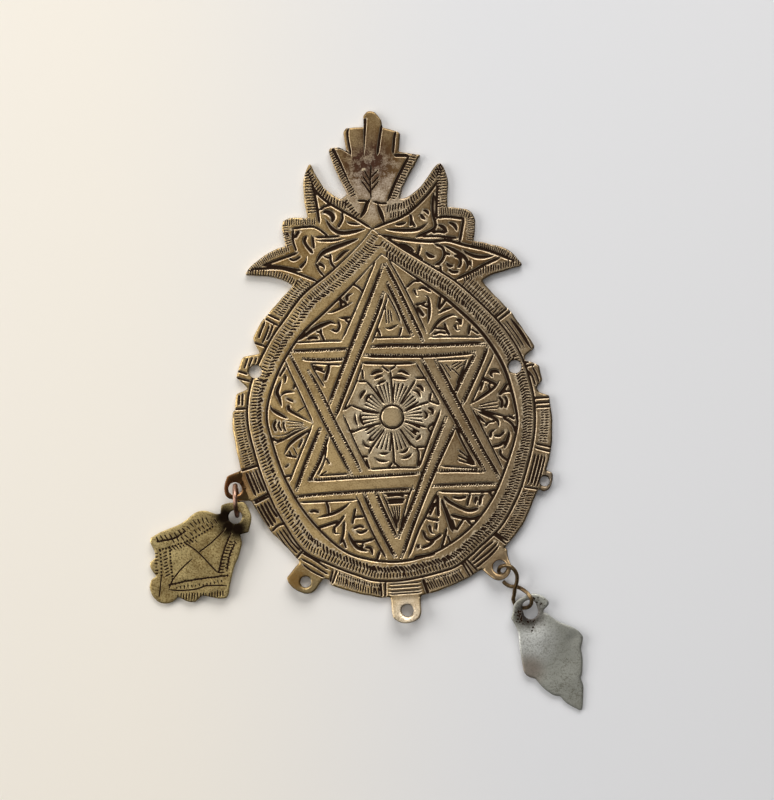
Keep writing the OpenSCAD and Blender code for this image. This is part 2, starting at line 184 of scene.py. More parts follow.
# %% The star
STAR_THIN = [
    (0.3, (-0.9, 30.2), (-3, 26), (-5.1, 21.8), (-8.3, 15.6)),
    (0.3, (-15.2, -0.4), (-17.8, -5.6), (-20.3, -10.9)), (0.3, (0.8, 22.9), (-0.45, 20), (-2.65, 14.7)),
    (0.3, (-4.8, 10.9), (-6.75, 6.3), (-9.2, 1.9)), (0.3, (-12.7, -4.4), (-13.4, -7.4), (-14.8, -9.95)),
    (0.32, (1.3, 30.4), (4.3, 24), (7.7, 15.6)), (0.32, (15.2, 1), (17.2, -3.6), (20.4, -11.3)),
    (0.3, (0.7, 23.7), (2.1, 20.5), (2.9, 18)), (0.32, (5.2, 10.2), (7.35, 6), (9.3, 1.9)),
    (0.45, (12, -2.6), (13, -5.5), (15.1, -10)), (0.3, (-17.2, 15.5), (-11, 15.4), (-8.4, 15.2)),
    (0.3, (-2.4, 15.4), (2.5, 15.2), (4.8, 15)), (0.3, (8.3, 14.75), (11.8, 14.6), (18, 14.1)),
    (0.3, (-14.6, 11.4), (-11, 10.95), (-9, 10.7)), (0.5, (-4.9, 10.8), (0.3, 10.3), (5, 10.1)),
    (0.3, (9.3, 10.4), (14.9, 10.2)), (0.3, (-19.5, 12.5), (-18.8, 10.2), (-17.3, 6.3), (-15, 0.1)),
    (0.4, (-7.7, -14.6), (-5.2, -21.5), (-2.9, -26.7)),
    (0.3, (-14.6, 11.4), (-13.95, 9.7), (-12.4, 6.8)), (0.3, (-9.1, 1.1), (-7.05, -4.8), (-5.1, -9.45)),
    (0.3, (-2.7, -14.4), (-1.6, -17.7), (-0.4, -21.3)), (0.3, (20.2, 10.9), (17.5, 6), (15.1, 1.4)),
    (0.45, (7.65, -14.6), (5, -19.2), (3.6, -21.5), (1.3, -26.6)), (0.3, (15, 10.1), (12.7, 5.6)),
    (0.4, (9.3, 0.85), (7.05, -3.8), (4.5, -9.75)), (0.3, (3.05, -13.3), (2.1, -15.2), (0.15, -20.8)),
    (0.3, (-14.5, -10), (-9, -10)), (0.32, (-4.95, -9.45), (0.3, -9.5), (4.4, -9.8)),
    (0.32, (8.8, -9.8), (15.8, -10.7)), (0.32, (-18.6, -14.8), (-15, -14.9), (-7.8, -15.05)),
    (0.4, (-2.5, -14.3), (2.5, -14.6)), (0.45, (7.9, -14.5), (12.8, -14.95), (17, -15.2), (19, -14.85)),
]
# Each row: the side that the teeth are on (1 left, -1 right), and the line's width and points.
STAR_TOOTHED = [
    (1, 0.44, (0.1, 29.2), (-1.3, 26), (-6.9, 14.2), (-12, 3.2)),
    (1, 0.44, (-13.9, -0.9), (-16.8, -6.8), (-19.3, -12.4)),
    (-1, 0.44, (0.3, 23.8), (-1.8, 19), (-5.3, 12), (-10.8, 0.4)),
    (-1, 0.44, (-12.2, -2.6), (-14.05, -7.1), (-16.35, -10.9)),
    (-1, 0.44, (0.9, 29.4), (3.2, 24), (7.1, 14.2)),
    (-1, 0.44, (9.2, 10.6), (13.4, 0.9), (16.8, -6.9), (19.9, -13)),
    (1, 0.44, (0.7, 25.6), (1.4, 24), (4.7, 15.2)), (1, 0.44, (6.2, 10.7), (11.2, 0), (16.7, -11.4)),
    (-1, 0.3, (-18.05, 14.1), (-7.2, 13.8)),
    (-1, 0.44, (-3, 13.95), (2, 13.8), (8, 13.4), (18.6, 13.1)),
    (1, 0.3, (-16.1, 12.15), (-12, 11.7), (-8.3, 11.6)),
    (1, 0.44, (-4.5, 12), (0, 11.6), (8, 11.1), (16.6, 11.1)),
    (1, 0.3, (-18.8, 13.7), (-15.6, 6.3), (-13.2, 0.4), (-8.6, -10.3)),
    (1, 0.44, (-6.4, -14.1), (-4.85, -18.5), (-1.4, -26.5)),
    (-1, 0.3, (-15, 10.2), (-13.05, 6), (-10.2, -1), (-6.4, -9.6)),
    (-1, 0.44, (-3.8, -14), (-2.5, -17.7), (-0.6, -22.5)),
    (-1, 0.44, (19.2, 12.1), (17, 7.7), (13.7, 1.6)),
    (-1, 0.44, (12.2, -2.1), (7.65, -10.4), (3.2, -19.6), (0.15, -26.7)),
    (1, 0.44, (16.4, 11), (14.3, 7.7), (12.2, 4)),
    (1, 0.44, (10.1, -0.4), (5.35, -10.2), (3.2, -15.2), (-0.6, -22.7)),
    (1, 0.3, (-16.35, -10.9), (4.8, -11)), (1, 0.3, (7.85, -10.85), (12, -11.05), (16.8, -11.5)),
    (-1, 0.3, (-19.5, -13.5), (-11, -13.35), (3.1, -13.55)),
    (-1, 0.3, (6.9, -13.25), (14.2, -13.4), (19, -13.65)),
]
TOOTH_GAP, TOOTH_PITCH, TOOTH_R, TOOTH_SOOT = 0.17, 0.45, 0.27, 1.3
plate_cuts = []


def engrave(part, made):
    """Adds the cuts of one part to the plate's, and says how many they are."""
    plate_cuts.extend(made)
    print("cuts of " + part + ":", len(made))


def star():
    """The star's lines, with a row of small round teeth beside each toothed one."""
    made = cuts(STAR_THIN, 1.15)
    for side, width, *points in STAR_TOOTHED:
        made.append(cut(line, width, points))
        made += dots(points, (width / 2 + TOOTH_GAP) * side, TOOTH_PITCH, TOOTH_R, TOOTH_SOOT)
    return made


engrave("the star", star())

# %% [markdown]
# Two lines run round the medallion, and the band between them is filled with two rows of
# ticks. Hundreds of ticks could be placed one by one, but a row is easier to see and to
# change as one thing. So the rows come from the same curve as the line: it is walked at an
# even pace, and the ticks turn with it.

# %% The borders and their band
BORDER_OUTER = [
    (-1.25, 36.1), (2.3, 33.2), (6.9, 30), (12, 26.5), (15, 24), (19, 19.8), (22.5, 15.4), (25.2, 10.4),
    (26.7, 5), (27.2, 0), (26.5, -6), (24.1, -13.5), (22, -17.9), (19.2, -22), (15.6, -25.1),
    (11.1, -28.5), (7.3, -29.8), (0, -30.9), (-5.2, -30.6), (-8.5, -29.4), (-13.2, -27.2), (-18.5, -24),
    (-22, -18.2), (-24.1, -13.5), (-26.1, -6.7), (-27.4, 1.6), (-26.1, 8.7), (-22.3, 15.9),
    (-18.7, 20.5), (-15, 24.7), (-9.2, 28.8), (-3.8, 33.3), (-1.25, 36.1),
]
BORDER_INNER = [
    (0.2, 31.2), (4.6, 27.7), (9.3, 24), (13.2, 20.5), (18.3, 14.8), (21.9, 8), (23.6, 0), (23.4, -4.2),
    (21.1, -10.4), (17.75, -16.9), (12.8, -22.3), (6.3, -26), (0, -27.3), (-6.2, -26.5), (-11.5, -24),
    (-17.05, -17.8), (-20.85, -10.6), (-23, -3), (-23.6, 2.9), (-20.9, 10.2), (-16.5, 16.5),
    (-11, 21.2), (-5.6, 25.8), (0.2, 31.2),
]
# Each row: its start and end in mm along the border, its distance to the inside, and its
# ticks' length, pitch, lean and width.
BAND_ROWS = [
    (0.9, 18, 0.85, 1, 0.5, 6, 0.24), (2.2, 18, 2.15, 1, 0.52, 32, 0.26),
    (18, 37, 0.85, 1.05, 0.62, 4, 0.24), (18, 37, 2.15, 1, 0.68, 36, 0.3),
    (37, 56, 0.75, 1.05, 0.63, 8, 0.26), (37, 56, 2.05, 0.65, 0.7, 30, 0.36),
    (56, 76, 0.85, 1.1, 0.66, 10, 0.26), (76, 93, 0.65, 1, 0.62, -4, 0.26),
    (76, 93, 1.85, 0.9, 0.68, 32, 0.36), (93, 112, 0.5, 1, 0.6, 12, 0.26),
    (93, 112, 1.65, 1.05, 0.6, 30, 0.32), (112, 136, 0.6, 0.85, 0.55, 14, 0.25),
    (112, 130, 1.6, 1.15, 0.56, 30, 0.26), (130, 149, 1.5, 0.85, 0.56, 26, 0.28),
    (136, 149, 0.55, 0.9, 0.56, -10, 0.25), (149, 164, 0.7, 0.9, 0.54, 0, 0.25),
    (149, 164, 1.8, 0.85, 0.54, 26, 0.3), (164, 183.4, 0.7, 1, 0.6, 0, 0.27),
    (164, 181.8, 1.85, 0.95, 0.6, 28, 0.32),
]
ROW_GAP = 0.5
BORDER_STEP = 0.3
WALK_PITCH = 1.2
border_walk = curve(BORDER_OUTER, BORDER_STEP)[::-1]


def along(start, end):
    """Part of the border, walked against the clock from the tip, between two distances."""
    at = np.linspace(start, end, int((end - start) / WALK_PITCH) + 3)
    walked = np.arange(len(border_walk)) * BORDER_STEP
    return np.column_stack([np.interp(at, walked, border_walk[:, k]) for k in (0, 1)])


def beside(start, end, low, high):
    """A path beside the border whose distance to it changes evenly along the way."""
    spine = along(start, end)
    return spine + sideways(spine) * np.linspace(low, high, len(spine))[:, None]


def border_band():
    """Both border lines, the rows of ticks between them, and at the lower left a row of
    small even ticks. The inner line is broader at the upper right."""
    made = [cut(line, 0.46, BORDER_OUTER), cut(line, 0.5, BORDER_INNER)]
    made.append(cut(flick, 0.95, BORDER_INNER[:9]))
    for start, end, inset, length, pitch, lean, width in BAND_ROWS:
        made += ticks(along(start, end - ROW_GAP), inset, length, pitch, lean, width)
    made += ticks(beside(56, 75.5, 0, 0.4), inset=2.15, length=0.55, pitch=0.74, lean=30,
                  width=0.32, shake=0.06)
    return made


engrave("the border", border_band())

# %% [markdown]
# The stepped rim outside the border is cut into panels: pairs of cuts across it, and long
# grooves or fine ticks between them. The grooves and ticks keep a distance to the border,
# so they are told by places along it, and only the other cuts have points of their own.

# %% The rim
RIM_CROSS_CUTS = [
    (0.4, (-19.95, 20), (-22.15, 21.25)), (0.4, (-20.35, 19), (-22.7, 20.5)),
    (0.4, (-22.8, 15.1), (-25, 16)), (0.4, (-26.8, 10.2), (-28.55, 10.9)),
    (0.4, (-26.4, 8.8), (-29, 9.7)), (0.4, (-27.5, 3.7), (-29.55, 3.7)),
    (0.5, (-26.1, -7.25), (-29.2, -8)), (0.4, (-24.5, -12.7), (-27.35, -13.95)),
    (0.4, (-24.4, -13.25), (-27.1, -14.4)), (0.4, (-21.7, -18.6), (-23, -18.9), (-24.2, -19.9)),
    (0.4, (-18.75, -24.1), (-20, -25.4)), (0.4, (-13.1, -28.05), (-13.95, -30.3)),
    (0.4, (-12.4, -28.2), (-13.5, -30.6)), (0.4, (-4.3, -31.1), (-4.3, -33.7)),
    (0.4, (-3.4, -31.1), (-3.6, -33.7)), (0.8, (3.8, -31.1), (4.2, -32.5), (4.5, -33.6)),
    (0.4, (11.3, -28.2), (12.7, -31)), (0.4, (11.8, -28), (13.4, -30.8)),
    (0.4, (12.4, -27.9), (14.2, -30.1)), (0.5, (18, -23.1), (20.4, -24.8)),
    (0.4, (17.75, -23.4), (20, -25.4)), (0.4, (24.1, -14.8), (26.8, -15.4)),
    (0.4, (26.9, -6.75), (29.95, -7.7)), (0.4, (26.7, -7.5), (29.55, -8.5)),
    (0.4, (27.3, 1.85), (30.1, 1.85)), (0.4, (27.3, 0.9), (30.2, 0.9)),
    (0.35, (27.4, 0.1), (30.2, 0.05)), (0.4, (25.5, 8.9), (26.6, 8.75)), (0.4, (25.8, 8), (27.7, 8.25)),
    (0.4, (21, 17.7), (23.2, 19.2)), (0.45, (21.5, 17.1), (23.8, 18.6)),
]
RIM_LONG_CUTS = [
    (0.45, (-22.8, 19.85), (-23.8, 17.8), (-24.2, 16.8)),
    (0.45, (-22, 19.1), (-22.8, 17.3), (-23.55, 15.9)),
    (0.45, (-21.25, 19.1), (-22, 17.5), (-22.7, 16.4)), (0.4, (-26.5, 13.2), (-27.3, 11.3)),
    (0.4, (-25.6, 13.3), (-26.4, 11.6)), (0.4, (-24.85, 13.2), (-25.2, 12.15)),
    (0.45, (-28.6, 6.3), (-28.8, 4.4)), (0.45, (-27.9, 6.6), (-28.15, 4.3)),
    (0.45, (-18.75, -24.4), (-16.5, -25.9), (-14.1, -27.8)),
    (0.45, (-19, -25.5), (-16.8, -26.9), (-14.2, -28.8)),
    (0.45, (-18.75, -26.6), (-17.2, -27.9), (-14.9, -29.3)),
    (0.45, (17.6, -24.7), (15.9, -25.9), (13.2, -28.2)),
    (0.5, (18.3, -25.1), (16.6, -26.6), (13.4, -28.8)),
    (0.5, (18.5, -25.7), (17, -27.2), (14.9, -28.8), (13.8, -29.5)),
    (0.4, (17, -24.1), (14.9, -25.7), (13, -27.3)), (0.45, (26.1, 7.4), (27.1, 6.1), (27.6, 4.3)),
    (0.45, (27.3, 7.75), (28, 6.1), (28.3, 4.8)),
    (flick, 0.9, (23.6, 17.5), (25.4, 14.8), (26.8, 12.2), (27.5, 11)),
]
# Each row: its start and end in mm along the border, its distance to the inside at both,
# which is negative, and its width.
RIM_GROOVES = [
    (54.4, 58.8, -2.55, -2.35, 0.42), (54.4, 58.8, -1.85, -1.6, 0.36), (54.4, 58.8, -1.25, -1.1, 0.2),
    (54.4, 58.8, -0.7, -0.55, 0.36), (60.7, 65, -2.85, -2.65, 0.34), (60.7, 65.2, -2.15, -2, 0.42),
    (60.7, 64.9, -1.4, -1.3, 0.42), (60.7, 64.2, -0.75, -0.5, 0.36), (66.5, 71.9, -2.1, -1.85, 0.26),
    (66.5, 71.9, -1.45, -1.15, 0.3), (66.5, 71.9, -0.8, -0.45, 0.3), (123.6, 129.5, -2.85, -2.8, 0.32),
    (123.6, 129.5, -2.25, -2.2, 0.4), (123.6, 129.5, -1.6, -1.55, 0.4),
    (123.6, 129.5, -0.95, -0.9, 0.32), (149.4, 155.4, -1.2, -1.15, 0.26),
    (149.4, 155.4, -0.6, -0.55, 0.22),
]
# Each row: its start and end in mm along the border, its distance to the inside, which is
# negative here, and its ticks' length, pitch and lean.
RIM_ROWS = [
    (16.6, 24, -2.5, 0.95, 0.47, 4), (16.2, 24, -1.4, 0.75, 0.45, 20), (16.2, 21.5, -0.5, 0.3, 0.45, 0),
    (43.6, 53.2, -2.4, 1.1, 0.47, 5), (43.6, 53.2, -1.15, 0.65, 0.47, 10),
    (80.3, 88, -2.6, 1.3, 0.42, 12), (80.3, 88, -1.1, 0.5, 0.44, 20), (97, 103, -2.7, 1.65, 0.41, 8),
    (97, 103, -0.95, 0.35, 0.42, 20), (113.5, 122.4, -2.6, 1.15, 0.47, 20),
    (113.5, 122.4, -1.35, 0.85, 0.47, 36), (132, 137.6, -2.5, 0.75, 0.46, 10),
    (132, 137.6, -1.6, 0.55, 0.46, 20), (157.4, 165.8, -2.4, 1.05, 0.56, 0),
    (157.4, 165.8, -1.15, 0.9, 0.56, 0),
]
RIM_TICK = 0.22
RIM_BARS = (-31.5, -32.2, -32.9, -33.4)
GROOVE_BROADER, GROOVE_SOOT = 1.35, 1.9


def rim():
    """The cuts across the rim and the long ones between them, four bars at the very bottom,
    and the rows of ticks and the grooves beside the border."""
    made = cuts(RIM_CROSS_CUTS, 1.1) + cuts(RIM_LONG_CUTS, 0.95, lip=0.08, soot=1.4)
    made += [cut(line, 0.3, [(-2.8, y), (3.2, y)]) for y in RIM_BARS]
    for start, end, inset, length, pitch, lean in RIM_ROWS:
        made += ticks(along(start, end), inset, length, pitch, lean, RIM_TICK)
    for start, end, low, high, width in RIM_GROOVES:
        groove = beside(start, end, low, high)
        made.append(cut(line, width * GROOVE_BROADER, groove, FINE_LIP, GROOVE_SOOT))
    return made


engrave("the rim", rim())

# %% [markdown]
# In the middle a rosette of ten petals opens from a small boss. Its petals are parted by
# straight cuts, each holds a few rays, and a crescent or two closes it at the outside. The
# cuts and crescents have points of their own, but the rays are spread evenly over each
# petal, so angles give them.

# %% The rosette
BOSS = (0.05, 0.2)
BOSS_R = 2.2
PETAL_LINES = [
    [(-4.35, 7.3), (-3.1, 5.65), (-1.25, 2.8)], [(0.35, 8.9), (0.4, 6.8), (0.5, 2.7)],
    [(4.95, 6.8), (3.7, 5.1), (1.7, 2.4)], [(7.35, 2.55), (4.5, 1.85), (2.4, 1)],
    [(6.5, -2.25), (4.5, -1.55), (2.25, -0.85)], [(4.2, -6.05), (3.1, -4.95), (1.3, -2.1)],
    [(-0.15, -8.9), (-0.15, -5.9), (-0.3, -2.55)],
    [(-4.8, -6.5), (-4.2, -5.35), (-1.55, -2)], [(-7.9, -2.3), (-5.65, -1.55), (-2, -0.85)],
    [(-7.6, 2.95), (-5.35, 1.95), (-2.1, 1.05)],
]
PETAL_ANGLES = [87.7, 54, 19, -19, -55, -91, -126.5, -163.8, -201.2, -239.2, -272.3]
CRESCENTS = [
    (0.35, (-6.85, 1.25), (-6.9, 0), (-6.5, -1.15)), (0.5, (-5.8, 1.1), (-5.85, 0), (-5.35, -1)),
    (0.7, (7, 1.3), (7.7, 0.9), (7.6, 0.2)), (0.5, (6.05, 0.85), (6.6, 0.15), (6.2, -0.55)),
    (0.6, (-4.65, 5.5), (-5.35, 4.8), (-5.65, 4.1)), (0.5, (-3.65, 4.65), (-4.35, 4.25), (-4.65, 3.4)),
    (0.7, (5.1, 5.65), (5.8, 5.5), (6.2, 4.65)), (0.5, (4.35, 4.8), (5.2, 4.5), (5.65, 3.5)),
    (0.7, (3.8, -2.8), (4.4, -2.95)), (0.5, (5.1, -3.5), (4.95, -3.95), (4.3, -4.5)),
    (0.4, (-5.65, -3.95), (-5.35, -4.8), (-4.35, -5.2)), (0.6, (-4.65, -3.8), (-4.1, -3.95)),
    (0.4, (-2.8, -6.55), (-1.95, -6.7), (-1.1, -6.55)),
    (0.4, (-3.65, -7.35), (-2.8, -7.95), (-1.4, -8.1)), (0.45, (1.1, -6.7), (2, -6.5), (2.7, -5.9)),
    (0.45, (1.4, -7.8), (2.4, -7.6), (3.25, -7.05)), (0.7, (-3.25, 8.45), (-2.25, 8.9), (-1.25, 8.9)),
    (0.5, (-2.7, 7.55), (-1.95, 7.95), (-1.15, 8.05)), (0.45, (-2.25, 6.5), (-1.55, 6.9), (-0.7, 7.1)),
    (0.6, (1.85, 8.45), (2.55, 8.65), (3.25, 8.3), (3.8, 7.9)),
    (0.7, (0.7, 7.6), (2, 7.5), (3.25, 7.2)),
]
PETAL_TIPS = [
    [(-1.15, 9.9), (0, 8.9)], [(1.3, 9.7), (0.4, 9.2)], [(-5.8, 7.35), (-4.35, 7.25)],
    [(-4.95, 9.45), (-4.95, 7.75)], [(5.1, 7.2), (7.05, 7.1)], [(7.75, 4.2), (7.35, 2.7)],
    [(7.35, 2.7), (9.05, 1.95)], [(6.75, -2.25), (8.05, -1.4)], [(6.65, -2.4), (7.2, -3.4)],
    [(4.2, -5.9), (5.8, -5.9)], [(4.2, -6.05), (4.65, -7.2), (4.2, -9.6)],
    [(-1.25, -9.3), (-0.55, -8.55)], [(-0.15, -8.5), (0.85, -9.45)],
    [(-6.05, -6.9), (-5.1, -7.05)], [(-5.35, -7.6), (-4.95, -9.3)],
    [(-8.3, -1.85), (-7.35, -2)], [(-8.75, 2.25), (-7.6, 2.95)],
]
CRESCENT_LONGER, CRESCENT_BROADER = 1.25, 1.3
RAY_LONG, RAY_SHORT, RAY_MIDDLE, RAY_END = 6.3, 5.6, 4, 1.6
RAY_SHARES = (0.18, 0.39, 0.61, 0.82)
RAY_WIDTH, RAY_LIP, RAY_SOOT = 0.36, 0.06, 2


def from_boss(radius, degrees):
    """The place at this distance and angle from the middle of the boss."""
    a = math.radians(degrees)
    return BOSS[0] + radius * math.cos(a), BOSS[1] + radius * math.sin(a)


def rosette():
    """The boss's ring, the crescents spread a little from their middles, the cuts between
    the petals, and the rays, which are longer in the petals that stand nearly upright."""
    made = [cut(line, 0.4, [from_boss(BOSS_R, degrees) for degrees in range(0, 400, 20)])]
    for width, *points in CRESCENTS:
        middle = np.mean(points, axis=0)
        spread = middle + (np.array(points) - middle) * CRESCENT_LONGER
        made.append(cut(flick, width * CRESCENT_BROADER, spread))
    made += [cut(line, 0.42, row) for row in PETAL_LINES]
    made += [cut(line, 0.45, row) for row in PETAL_TIPS]
    for start, end in zip(PETAL_ANGLES, PETAL_ANGLES[1:]):
        upright = abs(math.sin(math.radians((start + end) / 2))) > 0.85
        stops = (RAY_LONG if upright else RAY_SHORT, RAY_MIDDLE, RAY_END)
        for share in RAY_SHARES:
            ray = [from_boss(radius, start + (end - start) * share) for radius in stops]
            made.append(cut(wedge, RAY_WIDTH, ray, RAY_LIP, RAY_SOOT))
    return made


engrave("the rosette", rosette())

# %% [markdown]
# The crown: an open hand between two horns, with a step and a wing tip on each side. The
# hand has straight grooves between its fingers and a sprig on its palm, and every edge of
# the crown carries a row of ticks, as the medallion's border does. Half of it could be drawn
# and mirrored, but the two sides differ on the real one, so each has its own strokes.

# %% The crown
CROWN_LEFT = [
    (0.38, (-1.2, 36.05), (-4.3, 38.3), (-8.1, 40.8), (-10, 42.3), (-11.5, 44.05), (-12, 45.4)),
    (0.38, (-12, 45.4), (-11.5, 41.9), (-11.15, 37.8)),
    (0.35, (-10.85, 40.4), (-10, 40.9), (-9.1, 41.1)),
    (flick, 0.9, (-10.3, 39.7), (-9.9, 39.95), (-9, 39.6), (-8.5, 38.8), (-8.8, 37.8)),
    (0.35, (-6.75, 39.4), (-6.75, 38.3), (-7.65, 36.8)),
    (flick, 0.7, (-10, 38.6), (-8.7, 36.55), (-6.6, 35.65), (-2.4, 36.15)),
    (flick, 0.35, (-6.1, 38), (-5.6, 37.5), (-4.8, 37.3), (-3.25, 37)),
    (0.3, (-16.4, 37.15), (-13.85, 37.3), (-11.8, 37), (-9.6, 35.2)),
    (0.3, (-16.2, 36.9), (-16.4, 35.1), (-15.9, 32.8)), (0.3, (-12, 35.2), (-9.9, 35.1), (-7.5, 35.1)),
    (flick, 0.35, (-12.2, 34.5), (-8.9, 34.4), (-6.4, 34.55)),
    (flick, 0.8, (-12.4, 30.3), (-10.95, 32.1), (-8.4, 33.1), (-3.9, 34.4)),
    (0.4, (-12.6, 35.2), (-12.55, 33.2)), (0.5, (-13.85, 35.5), (-14.2, 34.4), (-12.9, 32.3)),
    (0.5, (-15.2, 36.5), (-15.9, 35.5)), (0.3, (-10.65, 31.5), (-9.8, 31.1)),
    (0.35, (-9.5, 31.85), (-9.45, 30.2), (-8.75, 29.1)),
    (flick, 0.5, (-8.9, 30.2), (-6.85, 31.95), (-5.7, 32.35)),
    (0.3, (-12.35, 30.2), (-11.8, 28.85), (-11.1, 27.9)),
    (wedge, 0.6, (-11.6, 30.1), (-10.9, 29.6), (-10.8, 28.8)),
    (0.35, (-15.7, 32.5), (-18.5, 31.7), (-22.6, 30.5)),
    (0.3, (-22.4, 30.6), (-19.6, 30.2), (-15.2, 29.1)),
    (0.35, (-24.5, 30), (-20.1, 29.9), (-17.1, 29.1), (-12.2, 26.8)),
    (0.3, (-17.3, 31.5), (-16.4, 31.15), (-15.2, 31.75)),
    (wedge, 0.5, (-15.2, 29.8), (-14.3, 30.7), (-13.85, 31.85)),
]
CROWN_RIGHT = [
    (0.42, (-1.2, 36.05), (1.2, 36.9), (4.2, 37.8), (6.7, 39.2), (9.9, 42), (11.9, 44.4)),
    (0.42, (11.7, 43.4), (11.3, 40.2), (11.1, 37.2)),
    (0.5, (10.9, 42), (10.5, 39.7), (10.5, 37.8), (10.8, 36.2), (10.3, 35.2), (7, 33.9)),
    (flick, 0.7, (8.1, 38.2), (8.5, 37.6), (8.9, 37.2)),
    (flick, 0.6, (8.6, 38.9), (9.3, 38.7), (9.7, 38)), (0.5, (6.2, 38.2), (6.3, 37.2), (6.1, 36.2)),
    (0.4, (6.3, 37.2), (6.9, 35.9)), (flick, 0.5, (3.1, 36.5), (4.3, 36.6), (5.4, 36.8)),
    (flick, 0.65, (1.2, 35.8), (4.6, 35.4), (7.5, 35.4), (9.5, 36.5)),
    (0.5, (11.4, 37.3), (13, 37.4), (16.3, 36.8)), (0.5, (16.2, 36.6), (15.8, 35), (15.2, 32.6)),
    (flick, 0.8, (11.3, 36), (12.3, 35.4), (12.9, 34.4)),
    (flick, 0.7, (13.3, 36.3), (14.4, 35.7), (14.8, 34.5)),
    (0.5, (10.2, 34.6), (11.3, 34.7), (12.5, 34.4)), (0.4, (8, 34), (11, 33.8), (14.8, 33.2)),
    (0.5, (0, 34.9), (4.5, 33.7), (9.5, 32.9), (12.8, 32.9), (16, 31.8), (20.5, 30.4), (25.3, 28.1)),
    (0.35, (1.4, 34.1), (5, 31.7), (8, 29.7)), (0.5, (14, 25.4), (17, 26.6), (20, 28), (22.5, 28.9)),
    (flick, 0.7, (15.5, 31), (17, 29.9), (19, 29.3), (21.6, 29.4)),
    (flick, 0.7, (8.6, 31), (9.3, 30.2), (10.3, 29.9)),
    (0.5, (10.5, 32.3), (11.8, 31.6), (12.1, 30.2), (11.3, 28.9), (10.2, 28.4)),
    (flick, 0.6, (12.4, 28.7), (12.8, 28.1), (13.7, 28)),
    (0.5, (12.8, 27.3), (13.5, 26.8), (14.4, 26.8)),
    (0.5, (14, 29.9), (14.9, 29.4), (15.1, 28.4), (14.6, 27.6)),
    (flick, 0.8, (12, 32.1), (14, 30.9), (15.8, 29.6), (16.4, 28.2), (16, 26.9)),
    (flick, 0.6, (3.6, 33), (5, 32.4), (6.6, 31.2)), (0.45, (7.6, 32.2), (7.2, 31), (6.9, 30.4)),
    (0.4, (12.2, 30.6), (13.1, 30.2)), (0.4, (11.2, 28.1), (11.2, 27)),
    (wedge, 0.5, (16.9, 28.5), (17.1, 27.2)),
]
HAND = [
    (0.35, (-4.4, 55.6), (-4.65, 54), (-4.3, 50.4)),
    (flick, 0.35, (-7.5, 51.7), (-6.2, 51.8), (-5.2, 51.2), (-4.3, 50.3)),
    (wedge, 0.55, (-7.6, 51.6), (-6.7, 49.6), (-4.85, 44.8), (-3.5, 41.9)),
    (wedge, 0.55, (-1.15, 56.8), (-1.4, 54.2), (-1.75, 50)),
    (0.42, (1.95, 55.6), (1.4, 53.3), (0.75, 50.1)), (0.42, (4.5, 54.1), (4.15, 53), (3.7, 50.1)),
    (0.6, (4, 49.7), (6.4, 49.5)), (0.5, (6.7, 49.4), (5.3, 47.1), (3.9, 44.8), (2.1, 41.2)),
    (0.4, (-3.5, 41.6), (-1.9, 41.4)), (0.4, (-0.6, 41.2), (0.65, 40.8), (1.9, 40.7)),
    (flick, 0.75, (-1.1, 41.8), (-1.9, 40.9), (-2.5, 39.5), (-3.4, 38.2)),
    (flick, 0.75, (0.1, 40.7), (0.5, 39.3), (0.9, 38), (1.1, 37)),
]
SPRIG = [
    [(-0.6, 48), (-0.8, 46.6), (-1, 45), (-1.05, 41.9)], [(-1.9, 47.2), (-1.4, 46), (-1, 45.2)],
    [(-2.3, 46.1), (-1.2, 44.2)], [(-2.6, 45.2), (-1.8, 44), (-1.1, 42.8)],
    [(0.4, 46.9), (-0.7, 45.9)], [(0.6, 45.8), (-0.7, 44.6)], [(0.5, 44.9), (-0.9, 43.4)],
]
